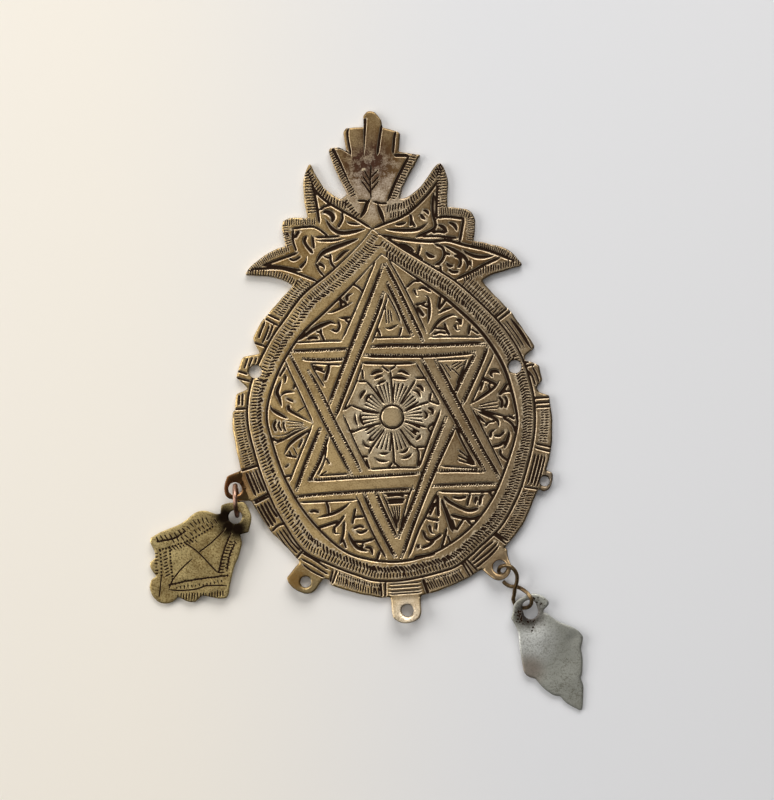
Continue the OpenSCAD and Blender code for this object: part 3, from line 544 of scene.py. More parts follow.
# Each row: the path, the distance to its left, and the ticks' length, pitch, lean and width.
CROWN_TICKS = [
    ([(8.4, 49.6), (5.2, 44.2), (3.6, 41.2)], -1, 0.9, 0.5, 10, 0.26),
    ([(-8.6, 51), (-6.8, 46.3), (-5, 42.4)], 0.15, 1.1, 0.44, 8, 0.22),
    ([(1.6, 40.4), (5, 41.1), (8, 42.9), (11, 46.4), (12.2, 47.4)], -1.3, 1.05, 0.5, -18, 0.3),
    ([(2.3, 38.9), (4.6, 39.3), (6.6, 40.6)], -1, 0.8, 0.45, -18, 0.26),
    ([(13.3, 46.5), (13.6, 44), (13.4, 41.6), (13.1, 39.4)], -1, 0.75, 0.52, 0, 0.25),
    ([(12.4, 46.5), (12.5, 44), (12.3, 41.6), (12, 39.4)], -0.8, 0.7, 0.52, 0, 0.28),
    ([(11.3, 39.2), (13.4, 39.1), (15.5, 38.9), (17.6, 38)], -1.25, 1.05, 0.4, 0, 0.19),
    ([(18.3, 37), (18.3, 35), (17.9, 32.6)], -1.4, 1.2, 0.38, 0, 0.17),
    ([(17.6, 32.4), (22.3, 31.2), (25.6, 29)], -1.2, 1, 0.38, 0, 0.18),
    ([(15.6, 24.8), (19, 26), (23.5, 26.9), (26, 27.3)], 0.1, 1.05, 0.46, -15, 0.25),
    ([(-13.4, 47.6), (-13.5, 44), (-13.3, 40)], 0.1, 0.75, 0.5, 0, 0.24),
    ([(-12.5, 46.5), (-12.6, 44), (-12.3, 40)], 0.05, 0.6, 0.5, 0, 0.24),
    ([(-11.9, 48), (-10.6, 45.4), (-8.3, 42.8), (-5.6, 41.6)], -1.35, 1.1, 0.5, 12, 0.28),
    ([(-5.4, 41.9), (-4.4, 40.4), (-3.4, 39.2)], -1, 0.8, 0.5, 0, 0.3),
    ([(-18.4, 36), (-18.4, 37.8)], -1.25, 1.1, 0.38, 0, 0.17),
    ([(-17.6, 39.2), (-12, 38.9)], -1.25, 1.1, 0.4, 0, 0.19),
    ([(-25.4, 30.4), (-22.6, 32.2), (-19.6, 33.5), (-17.6, 34.1)], -1.2, 1.05, 0.38, 0, 0.17),
    ([(-25.4, 29), (-20, 28.1), (-16.6, 26.4)], 0.1, 0.95, 0.46, 0, 0.24),
    ([(-17.8, 34), (-18.2, 36)], -1.2, 1.05, 0.38, 0, 0.17),
]
SPRIG_WIDTH, SPRIG_SOOT = 0.27, 7
TICKS_LONGER, TICKS_APART, TICKS_THINNER = 1.15, 1.02, 0.9


def crown():
    """The strokes of both sides, the hand and its sprig, and the rows of ticks."""
    made = cuts(CROWN_LEFT, 1.6) + cuts(CROWN_RIGHT, 1.4) + cuts(HAND, 1.3, lip=0.06, soot=1.6)
    made += [cut(line, SPRIG_WIDTH, row, FINE_LIP, SPRIG_SOOT) for row in SPRIG]
    for path, inset, length, pitch, lean, width in CROWN_TICKS:
        made += ticks(path, inset - 0.05, length * TICKS_LONGER, pitch * TICKS_APART, lean,
                      width * TICKS_THINNER)
    return made


engrave("the crown", crown())

# %% [markdown]
# The fields between the star's points and the border hold scrolls and leaves, no two the
# same. One scroll could be drawn and turned six times, but it would look cut by a machine.
# They were cut freehand, so each is a table of its own strokes, read off.

# %% The scrolls above and below the middle
POINT_TRIANGLES = [
    (0.25, (0.2, 21.4), (0.25, 17.9)), (0.25, (0.75, 20.6), (0.75, 17.9)),
    (0.25, (1.1, 20.4), (1.35, 18.2)), (flick, 0.35, (-0.2, 17.15), (0.8, 16.95), (2.5, 17.6)),
    (0.4, (-1.5, 17), (-1.1, 15.75)), (0.3, (3.05, 17), (2.5, 15.5)),
    (0.3, (-2, -14.8), (0, -14.7), (1.3, -15)), (0.6, (-1.8, -15.6), (1.3, -15.6)),
    (0.3, (-1.8, -16.15), (1.1, -16.15)), (0.25, (-1.2, -16.7), (-0.5, -20.8)),
    (0.25, (-0.7, -16.7), (-0.4, -20.8)), (0.25, (-0.2, -16.7), (-0.2, -20)),
    (0.25, (0.35, -16.7), (0, -19.6)), (0.25, (10, 9.8), (11, 8), (11.7, 6.7)),
    (0.27, (10.9, 9.5), (11.9, 8)), (0.27, (11.9, 8.7), (13.3, 7.2)), (0.25, (12, 9.2), (13.3, 9.8)),
    (0.25, (12.3, 8.7), (14, 9.7)), (0.25, (12.7, 8.3), (14.2, 9.2)),
    (0.3, (-14.2, 10.9), (-12.4, 10.1)), (0.3, (-13.95, 10.35), (-12, 9.5)),
    (0.6, (-11.25, 10.75), (-11.5, 9.7), (-12.15, 8.05)), (0.3, (12.25, -7), (14.55, -9.05)),
    (0.3, (12, -8), (14.8, -9.55)), (0.3, (12, -8.9), (14.95, -9.95)),
    (0.3, (-12.9, -6.9), (-12.4, -7.9)), (0.25, (-14.4, -9.95), (-13, -9.2)),
]
UPPER_LEFT = [
    (0.3, (-5.6, 25.9), (-4.4, 25), (-3.8, 24.1)),
    (wedge, 0.6, (-6.9, 23.05), (-6.9, 23.7), (-5.6, 24.1)),
    (flick, 0.35, (-11, 20.6), (-9.4, 21), (-5.7, 22.5)), (0.4, (-8.15, 23.2), (-8.15, 21.8)),
    (0.35, (-8.15, 23.05), (-7.1, 22.15)), (flick, 0.35, (-8.8, 19.7), (-7.8, 19.5), (-6, 19.65)),
    (0.3, (-7.5, 19.2), (-6.75, 18.45)),
    (flick, 0.7, (-16.6, 15.9), (-13.7, 17.8), (-11, 18.8), (-10.2, 18.9), (-9.2, 18.4)),
    (0.35, (-8.9, 19), (-8.7, 18), (-9.3, 17.15), (-10.2, 17.5)),
    (0.5, (-14.85, 16.1), (-13.95, 16.25), (-13, 16.1)), (0.3, (-13.05, 17.3), (-12.4, 17.15)),
    (0.35, (-12.3, 17.7), (-12.3, 16.8), (-11.8, 15.6)),
]
UPPER_RIGHT = [
    (0.3, (4.5, 24.5), (5.95, 25.6), (7, 25.5)), (wedge, 0.45, (5.95, 23.8), (6.3, 22.9), (6.85, 22.6)),
    (flick, 0.5, (6.6, 23.9), (7.7, 24.25), (9.2, 23.2)),
    (flick, 0.5, (7.8, 22.7), (8.5, 22.2), (8.5, 19.5), (8.1, 17.3)),
    (0.3, (5.95, 21.1), (7, 21.25), (8, 21.5)), (0.3, (7.2, 21), (8.2, 20.5)),
    (0.6, (6.3, 20.5), (7.3, 19)), (0.4, (10.75, 22.2), (10.5, 21.2), (10.25, 20.3)),
    (0.35, (11.8, 21.7), (11, 20.7), (10.3, 20)), (flick, 0.4, (10.1, 19), (11.3, 19.75), (13.2, 20.2)),
    (flick, 0.45, (8.2, 15.3), (10.3, 17.7), (12.7, 18.7), (13.8, 18.25)),
    (wedge, 0.45, (13.2, 16.5), (13.5, 15.8), (14.2, 15.75)),
    (0.5, (13.7, 17.7), (14.25, 17.6), (14.2, 16.9)), (0.4, (11.2, 17.2), (11.5, 16), (12, 15)),
    (0.35, (9, 15.3), (10.2, 15.6), (11.3, 15.3)), (0.3, (9.5, 16.4), (11.5, 16.1)),
    (0.35, (16, 16.5), (15.8, 15.7), (15.6, 14.8)), (0.3, (16.3, 15.7), (17.5, 14.8)),
]
LOWER_LEFT = [
    (0.35, (-13.5, -15.2), (-13.25, -16.1), (-13.25, -17.2)),
    (0.4, (-16.6, -16.7), (-15.9, -16.6), (-15.2, -16.9)),
    (flick, 0.45, (-15.5, -18), (-12, -17.2), (-10, -16.2), (-8.9, -15.4)),
    (0.4, (-15.4, -19.9), (-13.7, -19.45), (-11.5, -18.9)),
    (wedge, 0.45, (-12.4, -20.4), (-12.25, -21.1), (-11.3, -21.3)),
    (0.3, (-12.5, -20.15), (-11.4, -19.2), (-10.3, -17.9)),
    (0.35, (-10.4, -19), (-10.7, -21.3), (-11.4, -23.1)), (0.3, (-10.8, -22.5), (-10.4, -24)),
    (0.3, (-8.1, -16.7), (-8.9, -19.6)), (0.3, (-8.5, -18.3), (-6.8, -18.3)),
    (0.35, (-8.7, -20.4), (-7.5, -20.1), (-6.8, -20.4)),
    (0.35, (-8.1, -21.05), (-7.35, -21.35), (-6.2, -20.95)),
    (flick, 0.6, (-9.75, -21), (-9.3, -22.5), (-8.1, -24.2), (-6.2, -25)),
    (0.35, (-8.9, -22.9), (-7.15, -23.1), (-5, -22.7)), (0.4, (-7.7, -24.4), (-7.15, -23.65)),
    (flick, 0.5, (-6.95, -24.2), (-5.8, -24.4), (-5.4, -25.8)), (0.4, (-4.1, -25.2), (-4.65, -26.5)),
]
LOWER_RIGHT = [
    (0.5, (7.65, -15.4), (7.5, -17.7), (7.5, -19.2)), (0.35, (7.1, -16.7), (5.9, -18.85)),
    (0.35, (5.25, -19.4), (6.3, -19.8), (7.5, -20)),
    (wedge, 0.6, (5.7, -21), (5.9, -22.1), (6.7, -22.7)), (0.35, (7.1, -20.6), (6.9, -21.7)),
    (0.45, (4.4, -21.9), (5, -23.3), (6.1, -23.65), (7.85, -22.7)),
    (wedge, 0.6, (3.2, -24.8), (3.6, -24.2)), (0.4, (4, -25), (5.35, -24.6), (6.3, -23.85)),
    (0.5, (2.5, -26.7), (5, -26.5), (6.3, -26.2)), (0.5, (8.4, -16.2), (9.4, -20), (9.9, -22.1)),
    (0.4, (9, -17.7), (10.15, -21.5)), (0.5, (8.8, -15.6), (10, -16.8), (13.1, -18.5), (15.2, -18.3)),
    (0.35, (8.9, -21.7), (8.2, -23.85), (7.65, -25.2)), (0.3, (9, -23.1), (9.4, -24.4)),
    (0.4, (10.6, -15.8), (11.8, -16.1), (13, -15.9)),
    (0.35, (13.8, -15.5), (13.4, -16.6), (13.1, -17.6)),
    (wedge, 0.7, (14.9, -16.3), (14.65, -17), (14.8, -17.6)),
    (0.5, (16.2, -15.85), (15.8, -16.2), (15.5, -17.5)), (0.4, (17.5, -15.4), (17.9, -16.1)),
    (0.5, (10, -19.2), (12.1, -19.9), (13.95, -20.15), (15.6, -19.7)),
    (0.4, (12.8, -20.15), (13.5, -21.1)), (0.4, (12, -20.4), (10.7, -22.1)),
    (0.5, (10, -20.15), (10.4, -21.85)),
]

# %% The fans at the left and the right
LEFT_FAN = [
    (0.35, (-19.5, 11), (-20.35, 9.85), (-20.7, 9.3)),
    (wedge, 0.5, (-19.6, 9.2), (-19.7, 8.2), (-20, 7.8)),
    (flick, 0.7, (-20.35, 8.7), (-21.4, 6.5), (-21.1, 5.3), (-20.7, 3.5)),
    (0.3, (-17.9, 7.8), (-18.2, 6.8)),
    (flick, 0.4, (-20.85, 5.4), (-20.2, 6.1), (-19.2, 6.3), (-18, 6.1)),
    (0.35, (-19.6, 5), (-18.5, 4.4)),
    (flick, 0.6, (-22.8, 4), (-22.5, 3.1), (-20.5, 1.7), (-19.6, 1.2)),
    (wedge, 0.7, (-19.45, 3.5), (-19.2, 2.75), (-16.6, 0.95), (-15.1, 0)),
    (0.25, (-16.2, 3.4), (-17.25, 2.75), (-17.9, 2.35)), (0.2, (-20, 0.9), (-18.5, 0.6), (-16.8, 0.25)),
    (0.2, (-20, 0.25), (-16.7, 0)), (0.2, (-19.8, -0.4), (-16.9, -0.35)),
    (0.5, (-22.05, 0.95), (-22.45, 0.05), (-22.1, -0.95)),
    (0.35, (-21.35, 0.7), (-21.55, 0.05), (-21.1, -0.95)),
    (0.32, (-20.5, 0.7), (-20.6, -0.2), (-20.3, -1.1)),
    (flick, 0.25, (-23, -1.85), (-20.45, -1.75), (-18.55, -0.95), (-16, -0.5)),
    (0.4, (-23, -2.25), (-21.9, -2.9), (-21.1, -2.5)),
    (flick, 0.36, (-22.8, -3.6), (-21, -2.8), (-18.4, -1.5), (-15.8, -0.6)),
    (flick, 0.55, (-15.2, -0.9), (-18.4, -2.65), (-19.9, -3.9), (-20.9, -5.6)),
    (0.35, (-20.6, -5.7), (-19.8, -5.9), (-18.55, -6.2)), (0.3, (-19.95, -4.95), (-19.55, -5.85)),
    (0.25, (-19.05, -4.3), (-18.4, -5.85)), (0.3, (-17.25, -2.9), (-18, -4.3)),
    (0.3, (-20.35, -7.65), (-20.85, -8)), (0.35, (-21, -9.7), (-19.7, -9.6)),
]
RIGHT_FAN = [
    (flick, 0.5, (15.2, 1.6), (19.2, 4), (20.2, 4.8), (21, 5.7)),
    (0.5, (17.6, 6.1), (18.15, 6.1), (20.2, 4.9)), (0.4, (18.8, 4.9), (18.9, 4.3)),
    (0.3, (17.8, 5.6), (17.1, 4)),
    (flick, 0.6, (19.7, 6.3), (19.3, 7), (19.7, 7.5), (20.7, 7.35), (21, 6.85)),
    (0.5, (22.25, 4.9), (21.5, 3.9), (20.7, 3)), (0.3, (20.85, 3.1), (21.75, 3.5), (23, 3.5)),
    (0.26, (20.3, 1.8), (18.4, 1.6), (16.6, 1.25)), (0.26, (20.3, 1.1), (18.4, 1), (16.6, 0.9)),
    (0.26, (20.2, 0.4), (18.4, 0.45), (17, 0.55)), (0.5, (20.7, 2.35), (21.1, 1.6), (20.85, 0.55)),
    (0.45, (21.7, 2.5), (22, 1.6), (21.6, 0.45)),
    (flick, 0.3, (15.2, 0.95), (19.2, -0.45), (21.75, -1.25), (23.5, -0.95)),
    (0.4, (22.25, -1.2), (23.15, -1.75)),
    (flick, 0.6, (16.2, 0.1), (18.9, -1.1), (20, -2), (20.1, -3.2)),
    (flick, 0.4, (16.1, -0.3), (17.1, -1.6), (17.9, -2.3)),
    (0.2, (15.5, 0.2), (16.35, -1.3), (17.1, -2.9)), (0.3, (17.5, -2.8), (18.3, -2.1), (19.4, -2)),
    (0.4, (21.1, -1.5), (22.25, -2.25), (23, -3.3), (23.15, -4.3)),
    (wedge, 0.6, (18.4, -4.7), (18.7, -3.9), (19.7, -3.5)),
    (0.35, (19.2, -4.7), (20.2, -4.8), (21.1, -4.05)),
    (flick, 0.6, (21.9, -3.9), (21.9, -4.8), (20.85, -7.4)),
    (0.45, (18.9, -6.75), (19.95, -6.6), (21, -6)), (0.45, (20.1, -7.5), (20.2, -8.5), (21.5, -9.7)),
]
# How much broader each field's cuts are than its table says.
FIELDS = [
    (POINT_TRIANGLES, 1.35), (LEFT_FAN, 1.35), (UPPER_LEFT, 1.6), (UPPER_RIGHT, 1.6),
    (LOWER_LEFT, 1.6), (LOWER_RIGHT, 1.6), (RIGHT_FAN, 1.6),
]

engrave("the fields", [stroke for table, broad in FIELDS for stroke in cuts(table, broad)])
print("cuts on the plate:", len(plate_cuts))

# %% [markdown]
# The furrows are first pressed into a fine canvas of depths, as a graver with a V-shaped
# point would press them: at every step of every cut a cone is pushed down, as wide as the
# cut is there, and where cuts cross, the deeper one counts. The mesh then reads its depth
# from the canvas, so any number of cuts costs the same.

# %% The canvas of depths
CANVAS_STEP = 0.06
WALL_SLOPE = 0.56
DEEPEST = 0.26


def canvas(low, high, rows):
    """Depths in mm on a fine grid, and how dirty each place is. A node of half width r makes
    the depth slope (r - distance), and the dirt soot (r - distance)."""
    xs = np.arange(low[0], high[0], CANVAS_STEP)
    ys = np.arange(low[1], high[1], CANVAS_STEP)
    depth = np.zeros(ys.size * xs.size, np.float32)
    dirty = np.zeros_like(depth)
    span = np.ceil(rows[:, 2] / CANVAS_STEP).astype(int) + 1
    for k in np.unique(span):
        part = rows[span == k]
        col = np.round((part[:, 0] - low[0]) / CANVAS_STEP).astype(int)
        row = np.round((part[:, 1] - low[1]) / CANVAS_STEP).astype(int)
        dy, dx = (a.ravel() for a in np.mgrid[-k:k + 1, -k:k + 1])
        c = np.clip(col[:, None] + dx, 0, xs.size - 1)
        r = np.clip(row[:, None] + dy, 0, ys.size - 1)
        away = np.hypot(xs[c] - part[:, :1], ys[r] - part[:, 1:2])
        within = part[:, 2:3] - away
        place = (r * xs.size + c).ravel()
        pressed = np.minimum(within * WALL_SLOPE, DEEPEST)
        np.maximum.at(depth, place, pressed.ravel().astype(np.float32))
        np.maximum.at(dirty, place, (within * part[:, 5:6]).ravel().astype(np.float32))
    shape = (ys.size, xs.size)
    return (xs, ys, depth.reshape(shape)), (xs, ys, dirty.reshape(shape))


def read(grid, x, y):
    """The grid's value between its points, by weighting the four around each place."""
    xs, ys, values = grid
    u = np.clip((x - xs[0]) / (xs[1] - xs[0]), 0, xs.size - 1.001)
    v = np.clip((y - ys[0]) / (ys[1] - ys[0]), 0, ys.size - 1.001)
    i, j = u.astype(int), v.astype(int)
    u, v = u - i, v - j
    lower = values[j, i] * (1 - u) + values[j, i + 1] * u
    upper = values[j + 1, i] * (1 - u) + values[j + 1, i + 1] * u
    return lower * (1 - v) + upper * v


def blurred(grid, cells):
    """Each value as the mean of a square of cells around it, twice over."""
    xs, ys, values = grid
    for axis in (0, 1, 0, 1):
        summed = np.cumsum(values, axis=axis, dtype=float)
        ahead = np.roll(summed, -cells, axis)
        behind = np.roll(summed, cells, axis)
        values = (ahead - behind) / (2 * cells)
    return xs, ys, np.clip(values, 0, 1)


# %% [markdown]
# The sheet was sawn out with a fine blade and filed, so its outline is a chain of short
# straight runs with softened corners. A field that says how far each place is inside the
# outline makes it easy to round corners, to grow ears out of the plate and to drill holes:
# joining is the larger of two fields, and a hole is cut with the smaller one.

# %% The outline as a field
FIELD_STEP = 0.12
FIELD_REACH = 1.5
# A corner that turns by fewer degrees than this is shallow.
SHALLOW = 38


def soften(points, sharp=0.28):
    """Each corner as a parabola that leaves one edge shortly before the corner and joins
    the next one shortly after it. Shallow corners get long ones, sharp corners short ones."""
    p = np.array(points, float)
    back, ahead = np.roll(p, 1, 0) - p, np.roll(p, -1, 0) - p
    lb, la = np.linalg.norm(back, axis=1), np.linalg.norm(ahead, axis=1)
    turn = np.degrees(np.arccos(np.clip(-(back * ahead).sum(1) / (lb * la), -1, 1)))
    reach = 0.45 * np.minimum(lb, la)
    reach = np.where(turn < SHALLOW, reach, np.minimum(reach, sharp))[:, None]
    start, end = p + back / lb[:, None] * reach, p + ahead / la[:, None] * reach
    t = np.linspace(0, 1, 6)[None, :, None]
    path = (1 - t)**2 * start[:, None] + 2 * t * (1 - t) * p[:, None] + t**2 * end[:, None]
    return path.reshape(-1, 2)


def inside_by(points, xs, ys):
    """How far each grid point is inside a closed outline in mm, and minus that outside: the
    distance to the nearest edge, with its sign from the number of edges to the left."""
    away = np.full((ys.size, xs.size), FIELD_REACH)
    flips = np.zeros((ys.size, xs.size + 1), int)
    for a, b in zip(points, np.roll(points, -1, 0)):
        low, high = np.minimum(a, b) - FIELD_REACH, np.maximum(a, b) + FIELD_REACH
        cols = slice(*np.searchsorted(xs, (low[0], high[0])))
        rows = slice(*np.searchsorted(ys, (low[1], high[1])))
        x, y, d = xs[None, cols] - a[0], ys[rows, None] - a[1], b - a
        t = np.clip((x * d[0] + y * d[1]) / max(d @ d, 1e-9), 0, 1)
        away[rows, cols] = np.minimum(away[rows, cols], np.hypot(x - t * d[0], y - t * d[1]))
        met = np.nonzero((ys >= min(a[1], b[1])) & (ys < max(a[1], b[1])))[0]
        if met.size:
            cross = a[0] + (ys[met] - a[1]) * d[0] / d[1]
            np.add.at(flips, (met, np.searchsorted(xs, cross)), 1)
    inside = np.cumsum(flips[:, :-1], axis=1) % 2 == 1
    return np.where(inside, away, -away)


def joined(a, b, blend=0.5):
    """The larger of two fields, with the crease between them filled by a small fillet."""
    alike = np.maximum(blend - np.abs(a - b), 0) / blend
    return np.maximum(a, b) + alike**2 * blend / 4


def drilled(field, xs, ys, hole, r, end=None):
    """The field with a round hole, or a slot from `hole` to `end`."""
    hole = np.array(hole)
    run = np.array(hole if end is None else end) - hole
    x, y = xs[None, :] - hole[0], ys[:, None] - hole[1]
    t = np.clip((x * run[0] + y * run[1]) / max(run @ run, 1e-9), 0, 1)
    return np.minimum(field, np.hypot(x - t * run[0], y - t * run[1]) - r)


# %% [markdown]
# The edge of the sheet is where the field is zero. Marching squares finds it: every small
# square of the grid whose corners differ holds one or two short pieces of edge, and they
# are set down so that metal is always on their left.

# %% The edge by marching squares
# Corners inside (1 low left, 2 low right, 4 up right, 8 up left): the sides of the square
# that the edge runs from and to.
SQUARES = {
    1: "BL", 2: "RB", 3: "RL", 4: "TR", 5: "TLBR", 6: "TB", 7: "TL",
    8: "LT", 9: "BT", 10: "RTLB", 11: "RT", 12: "LR", 13: "BR", 14: "LB",
}
CLEAR = 0.12


def edge_of(field, xs, ys):
    """Points where the field crosses zero between grid points, and the directed pieces of
    edge between them. A crossing is kept off the grid's corners, so no piece is too short."""
    f, wide = field, xs.size
    inside = (f > 0).astype(int)
    code = inside[:-1, :-1] + 2 * inside[:-1, 1:] + 4 * inside[1:, 1:] + 8 * inside[1:, :-1]
    upright = f.size
    starts, ends = [], []
    for case, sides in SQUARES.items():
        j, i = np.nonzero(code == case)
        at = j * wide + i
        name = {"B": at, "T": at + wide, "L": at + upright, "R": at + upright + 1}
        for a, b in zip(sides[::2], sides[1::2]):
            starts.append(name[a])
            ends.append(name[b])
    pieces = np.column_stack([np.concatenate(starts), np.concatenate(ends)])
    names, pieces = np.unique(pieces, return_inverse=True)
    stands = names >= upright
    j, i = np.divmod(names % upright, wide)
    j2, i2 = j + stands, i + ~stands
    t = np.clip(f[j, i] / (f[j, i] - f[j2, i2]), CLEAR, 1 - CLEAR)
    points = np.column_stack([xs[i] + t * (xs[i2] - xs[i]), ys[j] + t * (ys[j2] - ys[j])])
    return points, pieces.reshape(-1, 2)


# %% [markdown]
# The sheet's mesh spends its points where the eye looks: along the middle and both lips of
# every cut, in two rows just inside the edge, and only thinly on the bare metal between.
# Delaunay triangles join them, and the edge's own pieces are kept as edges of the mesh.
# The front, the back and the wall between them share the edge's points, so it is closed.

# %% Points of the mesh
THIN_CELL = 0.09
BESIDE = 0.03
# Only every fourth row of a cut gives points, a quarter of a millimetre from the last.
EVERY = 4
LATTICE_SHAKE = 0.2
# A prime number larger than the number of cells in a column makes one key of two.
COLUMN_KEY = 100003


def cut_points(marks):
    """Points along the middle of each cut, and along both of its lips."""
    middles, lips = [], []
    around = np.radians(np.arange(0, 360, 60))
    ring = np.column_stack([np.cos(around), np.sin(around)])
    for rows in marks:
        if len(rows) == 1:
            middles.append(rows[:, :2])
            lips.append(rows[:, :2] + ring * (rows[0, 2] + BESIDE))
            continue
        middles.append(rows[::EVERY, :2])
        part = rows[np.r_[0:len(rows):EVERY, len(rows) - 1]]
        out = part[:, 3:5] * (part[:, 2:3] + BESIDE)
        lips += [part[:, :2] + out, part[:, :2] - out]
    return np.vstack(middles), np.vstack(lips)


def lattice(low, high, pitch):
    """Points in offset rows that make near equal triangles, each shaken a little."""
    x, y = np.meshgrid(np.arange(low[0], high[0], pitch), np.arange(low[1], high[1], pitch * 0.87))
    x = x + pitch / 2 * (np.arange(len(x)) % 2)[:, None]
    spots = np.column_stack([x.ravel(), y.ravel()])
    return spots + chance.uniform(-LATTICE_SHAKE, LATTICE_SHAKE, spots.shape) * pitch


def thinned(groups):
    """The points of several groups, at most one in each small cell, earlier groups first."""
    spots = np.vstack(groups)
    cells = np.floor(spots / THIN_CELL).astype(int)
    first = np.unique(cells[:, 0] * COLUMN_KEY + cells[:, 1], return_index=True)[1]
    return spots[np.sort(first)]


def triangles(edge, pieces, inner, field):
    """Delaunay triangles of the edge's points and the inner ones, without those outside.
    A triangle that has a piece of the edge as a side is inside if it runs the same way."""
    spots = np.vstack([edge, inner])
    made = delaunay_2d_cdt([Vector(p) for p in spots], pieces.tolist(), [], 0, 1e-6)
    flat = np.array([tuple(p) for p in made[0]])
    tri = np.array(made[2])
    a, b, c = (flat[tri[:, n]] for n in range(3))
    turned = (b[:, 0] - a[:, 0]) * (c[:, 1] - a[:, 1]) - (b[:, 1] - a[:, 1]) * (c[:, 0] - a[:, 0])
    tri[turned < 0] = tri[turned < 0][:, ::-1]
    many = len(flat)
    sides = np.stack([tri * many + np.roll(tri, -1, 1), np.roll(tri, -1, 1) * many + tri])
    known = pieces[:, 0] * many + pieces[:, 1]
    with_edge, against_edge = np.isin(sides, known).any(axis=2)
    centre = (a + b + c) / 3
    by_field = read(field, centre[:, 0], centre[:, 1]) > 0
    only_edge = (tri < len(edge)).all(axis=1)
    keep = np.where(only_edge, with_edge | (by_field & ~against_edge), by_field | with_edge)
    return flat, tri[keep & ~against_edge]


# %% From the field to a closed sheet
SHARP_DEGREES = 18
# Rows of points inside the edge, and how far from it all other points stay, in mm.
EDGE_ROWS = (0.13, 0.32)
FRONT_CLEAR, BACK_CLEAR = 0.07, 0.5
BACK_PITCH = 1.6
BEVEL_WIDE = 0.35
# The darkening beside the cuts, partly tarnish and partly painted shade: the cells it is blurred over,
# and the depth that gives it full strength.
GRIME_AND_SHADE_CELLS, GRIME_AND_SHADE_FULL = 6, 0.08
RIM_FADE = 0.25


def new_piece(name, spots, faces, marks=None):
    """A mesh object from points in mm and faces, with values kept for the material."""
    mesh = bpy.data.meshes.new(name)
    mesh.from_pydata((np.asarray(spots) * MM).tolist(), [], [list(f) for f in faces])
    for label, values in (marks or {}).items():
        layer = mesh.attributes.new(label, "FLOAT", "POINT")
        layer.data.foreach_set("value", np.ascontiguousarray(values, np.float32))
    mesh.update()
    mesh.validate()
    piece = bpy.data.objects.new(name, mesh)
    bpy.context.scene.collection.objects.link(piece)
    mesh.shade_smooth()
    mesh.set_sharp_from_angle(angle=math.radians(SHARP_DEGREES))
    return piece


def sheet(name, grid, marks, top, bottom, pitch, bevel=0.18):
    """A closed sheet of metal. Its front is top(x, y) less the depth of the cuts, rounded
    off by `bevel` at the edge, and its back is bottom(x, y). The material gets the dirt in
    the cuts, a darkening spread around them that is partly tarnish and partly painted
    shade, and the nearness of the rim."""
    xs, ys, field = grid
    edge, pieces = edge_of(field, xs, ys)
    low, high = edge.min(0) - 1, edge.max(0) + 1
    rows = np.vstack(marks)
    depths, soot = canvas(low, high, rows)
    slope = np.column_stack([read((xs, ys, g), *edge.T) for g in np.gradient(field)[::-1]])
    slope /= np.linalg.norm(slope, axis=1)[:, None] + 1e-9
    middles, lips = cut_points(marks)
    beside_edge = [edge + slope * far for far in EDGE_ROWS]
    inner = thinned([middles, lips, *beside_edge, lattice(low, high, pitch)])
    inner = inner[read(grid, *inner.T) > FRONT_CLEAR]
    front, front_tri = triangles(edge, pieces, inner, grid)
    coarse = lattice(low, high, BACK_PITCH)
    coarse = coarse[read(grid, *coarse.T) > BACK_CLEAR]
    back, back_tri = triangles(edge, pieces, coarse, grid)
    x, y = front.T
    within = np.clip(read(grid, x, y), 0, 1)
    within[:len(edge)] = 0
    depth = read(depths, x, y)
    rounding = bevel * (1 - np.clip(within / BEVEL_WIDE, 0, 1))**2
    z_front = top(x, y) - np.minimum(depth, DEEPEST) - rounding
    z_back = bottom(*back.T)
    spots = np.vstack([np.column_stack([front, z_front]), np.column_stack([back, z_back])])
    shift = len(front)
    a, b = pieces.T
    walls = np.column_stack([a + shift, b + shift, b, a])
    faces = front_tri.tolist() + (back_tri[:, ::-1] + shift).tolist() + walls.tolist()
    none = np.zeros(len(back))
    # The darkening spread beside the cuts: partly tarnish, partly painted shade.
    grime_and_shade = read(blurred(depths, GRIME_AND_SHADE_CELLS), x, y)
    values = {
        "cut": np.r_[read(soot, x, y) / (2 * LIP), none],
        "grime_and_shade": np.r_[grime_and_shade / GRIME_AND_SHADE_FULL, none],
        "rim": np.r_[np.exp(-within / RIM_FADE), none],
    }
    piece = new_piece(name, spots, faces, values)
    print(name, len(front_tri) + len(back_tri) + 2 * len(walls), "triangles")
    return piece


# %% [markdown]
# The plate's outline, read as real sizes: the open hand at the top, then down the right
# side over the horn, the step, the wing tip and the stepped rim, round the bottom, and up
# the left side. Five pierced ears grow out of the rim and are bent up a little. They could
# be bodies of their own, but the real ones were left standing when the sheet was sawn, so
# their fields are joined with the plate's before the holes are drilled.

# %% The plate's outline
HAND_RIGHT = [
    (0.1, 58.5), (0.9, 58.2), (1.4, 57.4), (2, 56.5), (2.1, 55.2), (5, 54.2), (5.4, 53.7), (4.8, 50.4),
    (6.5, 50), (9, 49.5), (8.6, 49), (5.3, 43.9), (4.4, 41.5),
]
HORN_RIGHT = [
    (5, 41.4), (6.5, 42.1), (8, 43.1), (9.5, 44.7), (11, 46.7), (12, 47.6), (12.6, 47.7), (13.2, 46.8),
    (13.6, 45.5), (13.8, 44), (13.6, 42), (13.3, 39.2),
]
STEP_RIGHT = [
    (15.5, 39), (17, 38.6), (18, 37.8), (18.5, 36.5), (18.3, 35), (17.9, 32.5),
]
WING_RIGHT = [
    (20, 32), (22.3, 31.3), (24, 30.6), (25.2, 29.5), (26.5, 27.8), (26.7, 27.3), (26.2, 27),
    (23.5, 26.4), (20.5, 25.7), (19, 24.8),
]
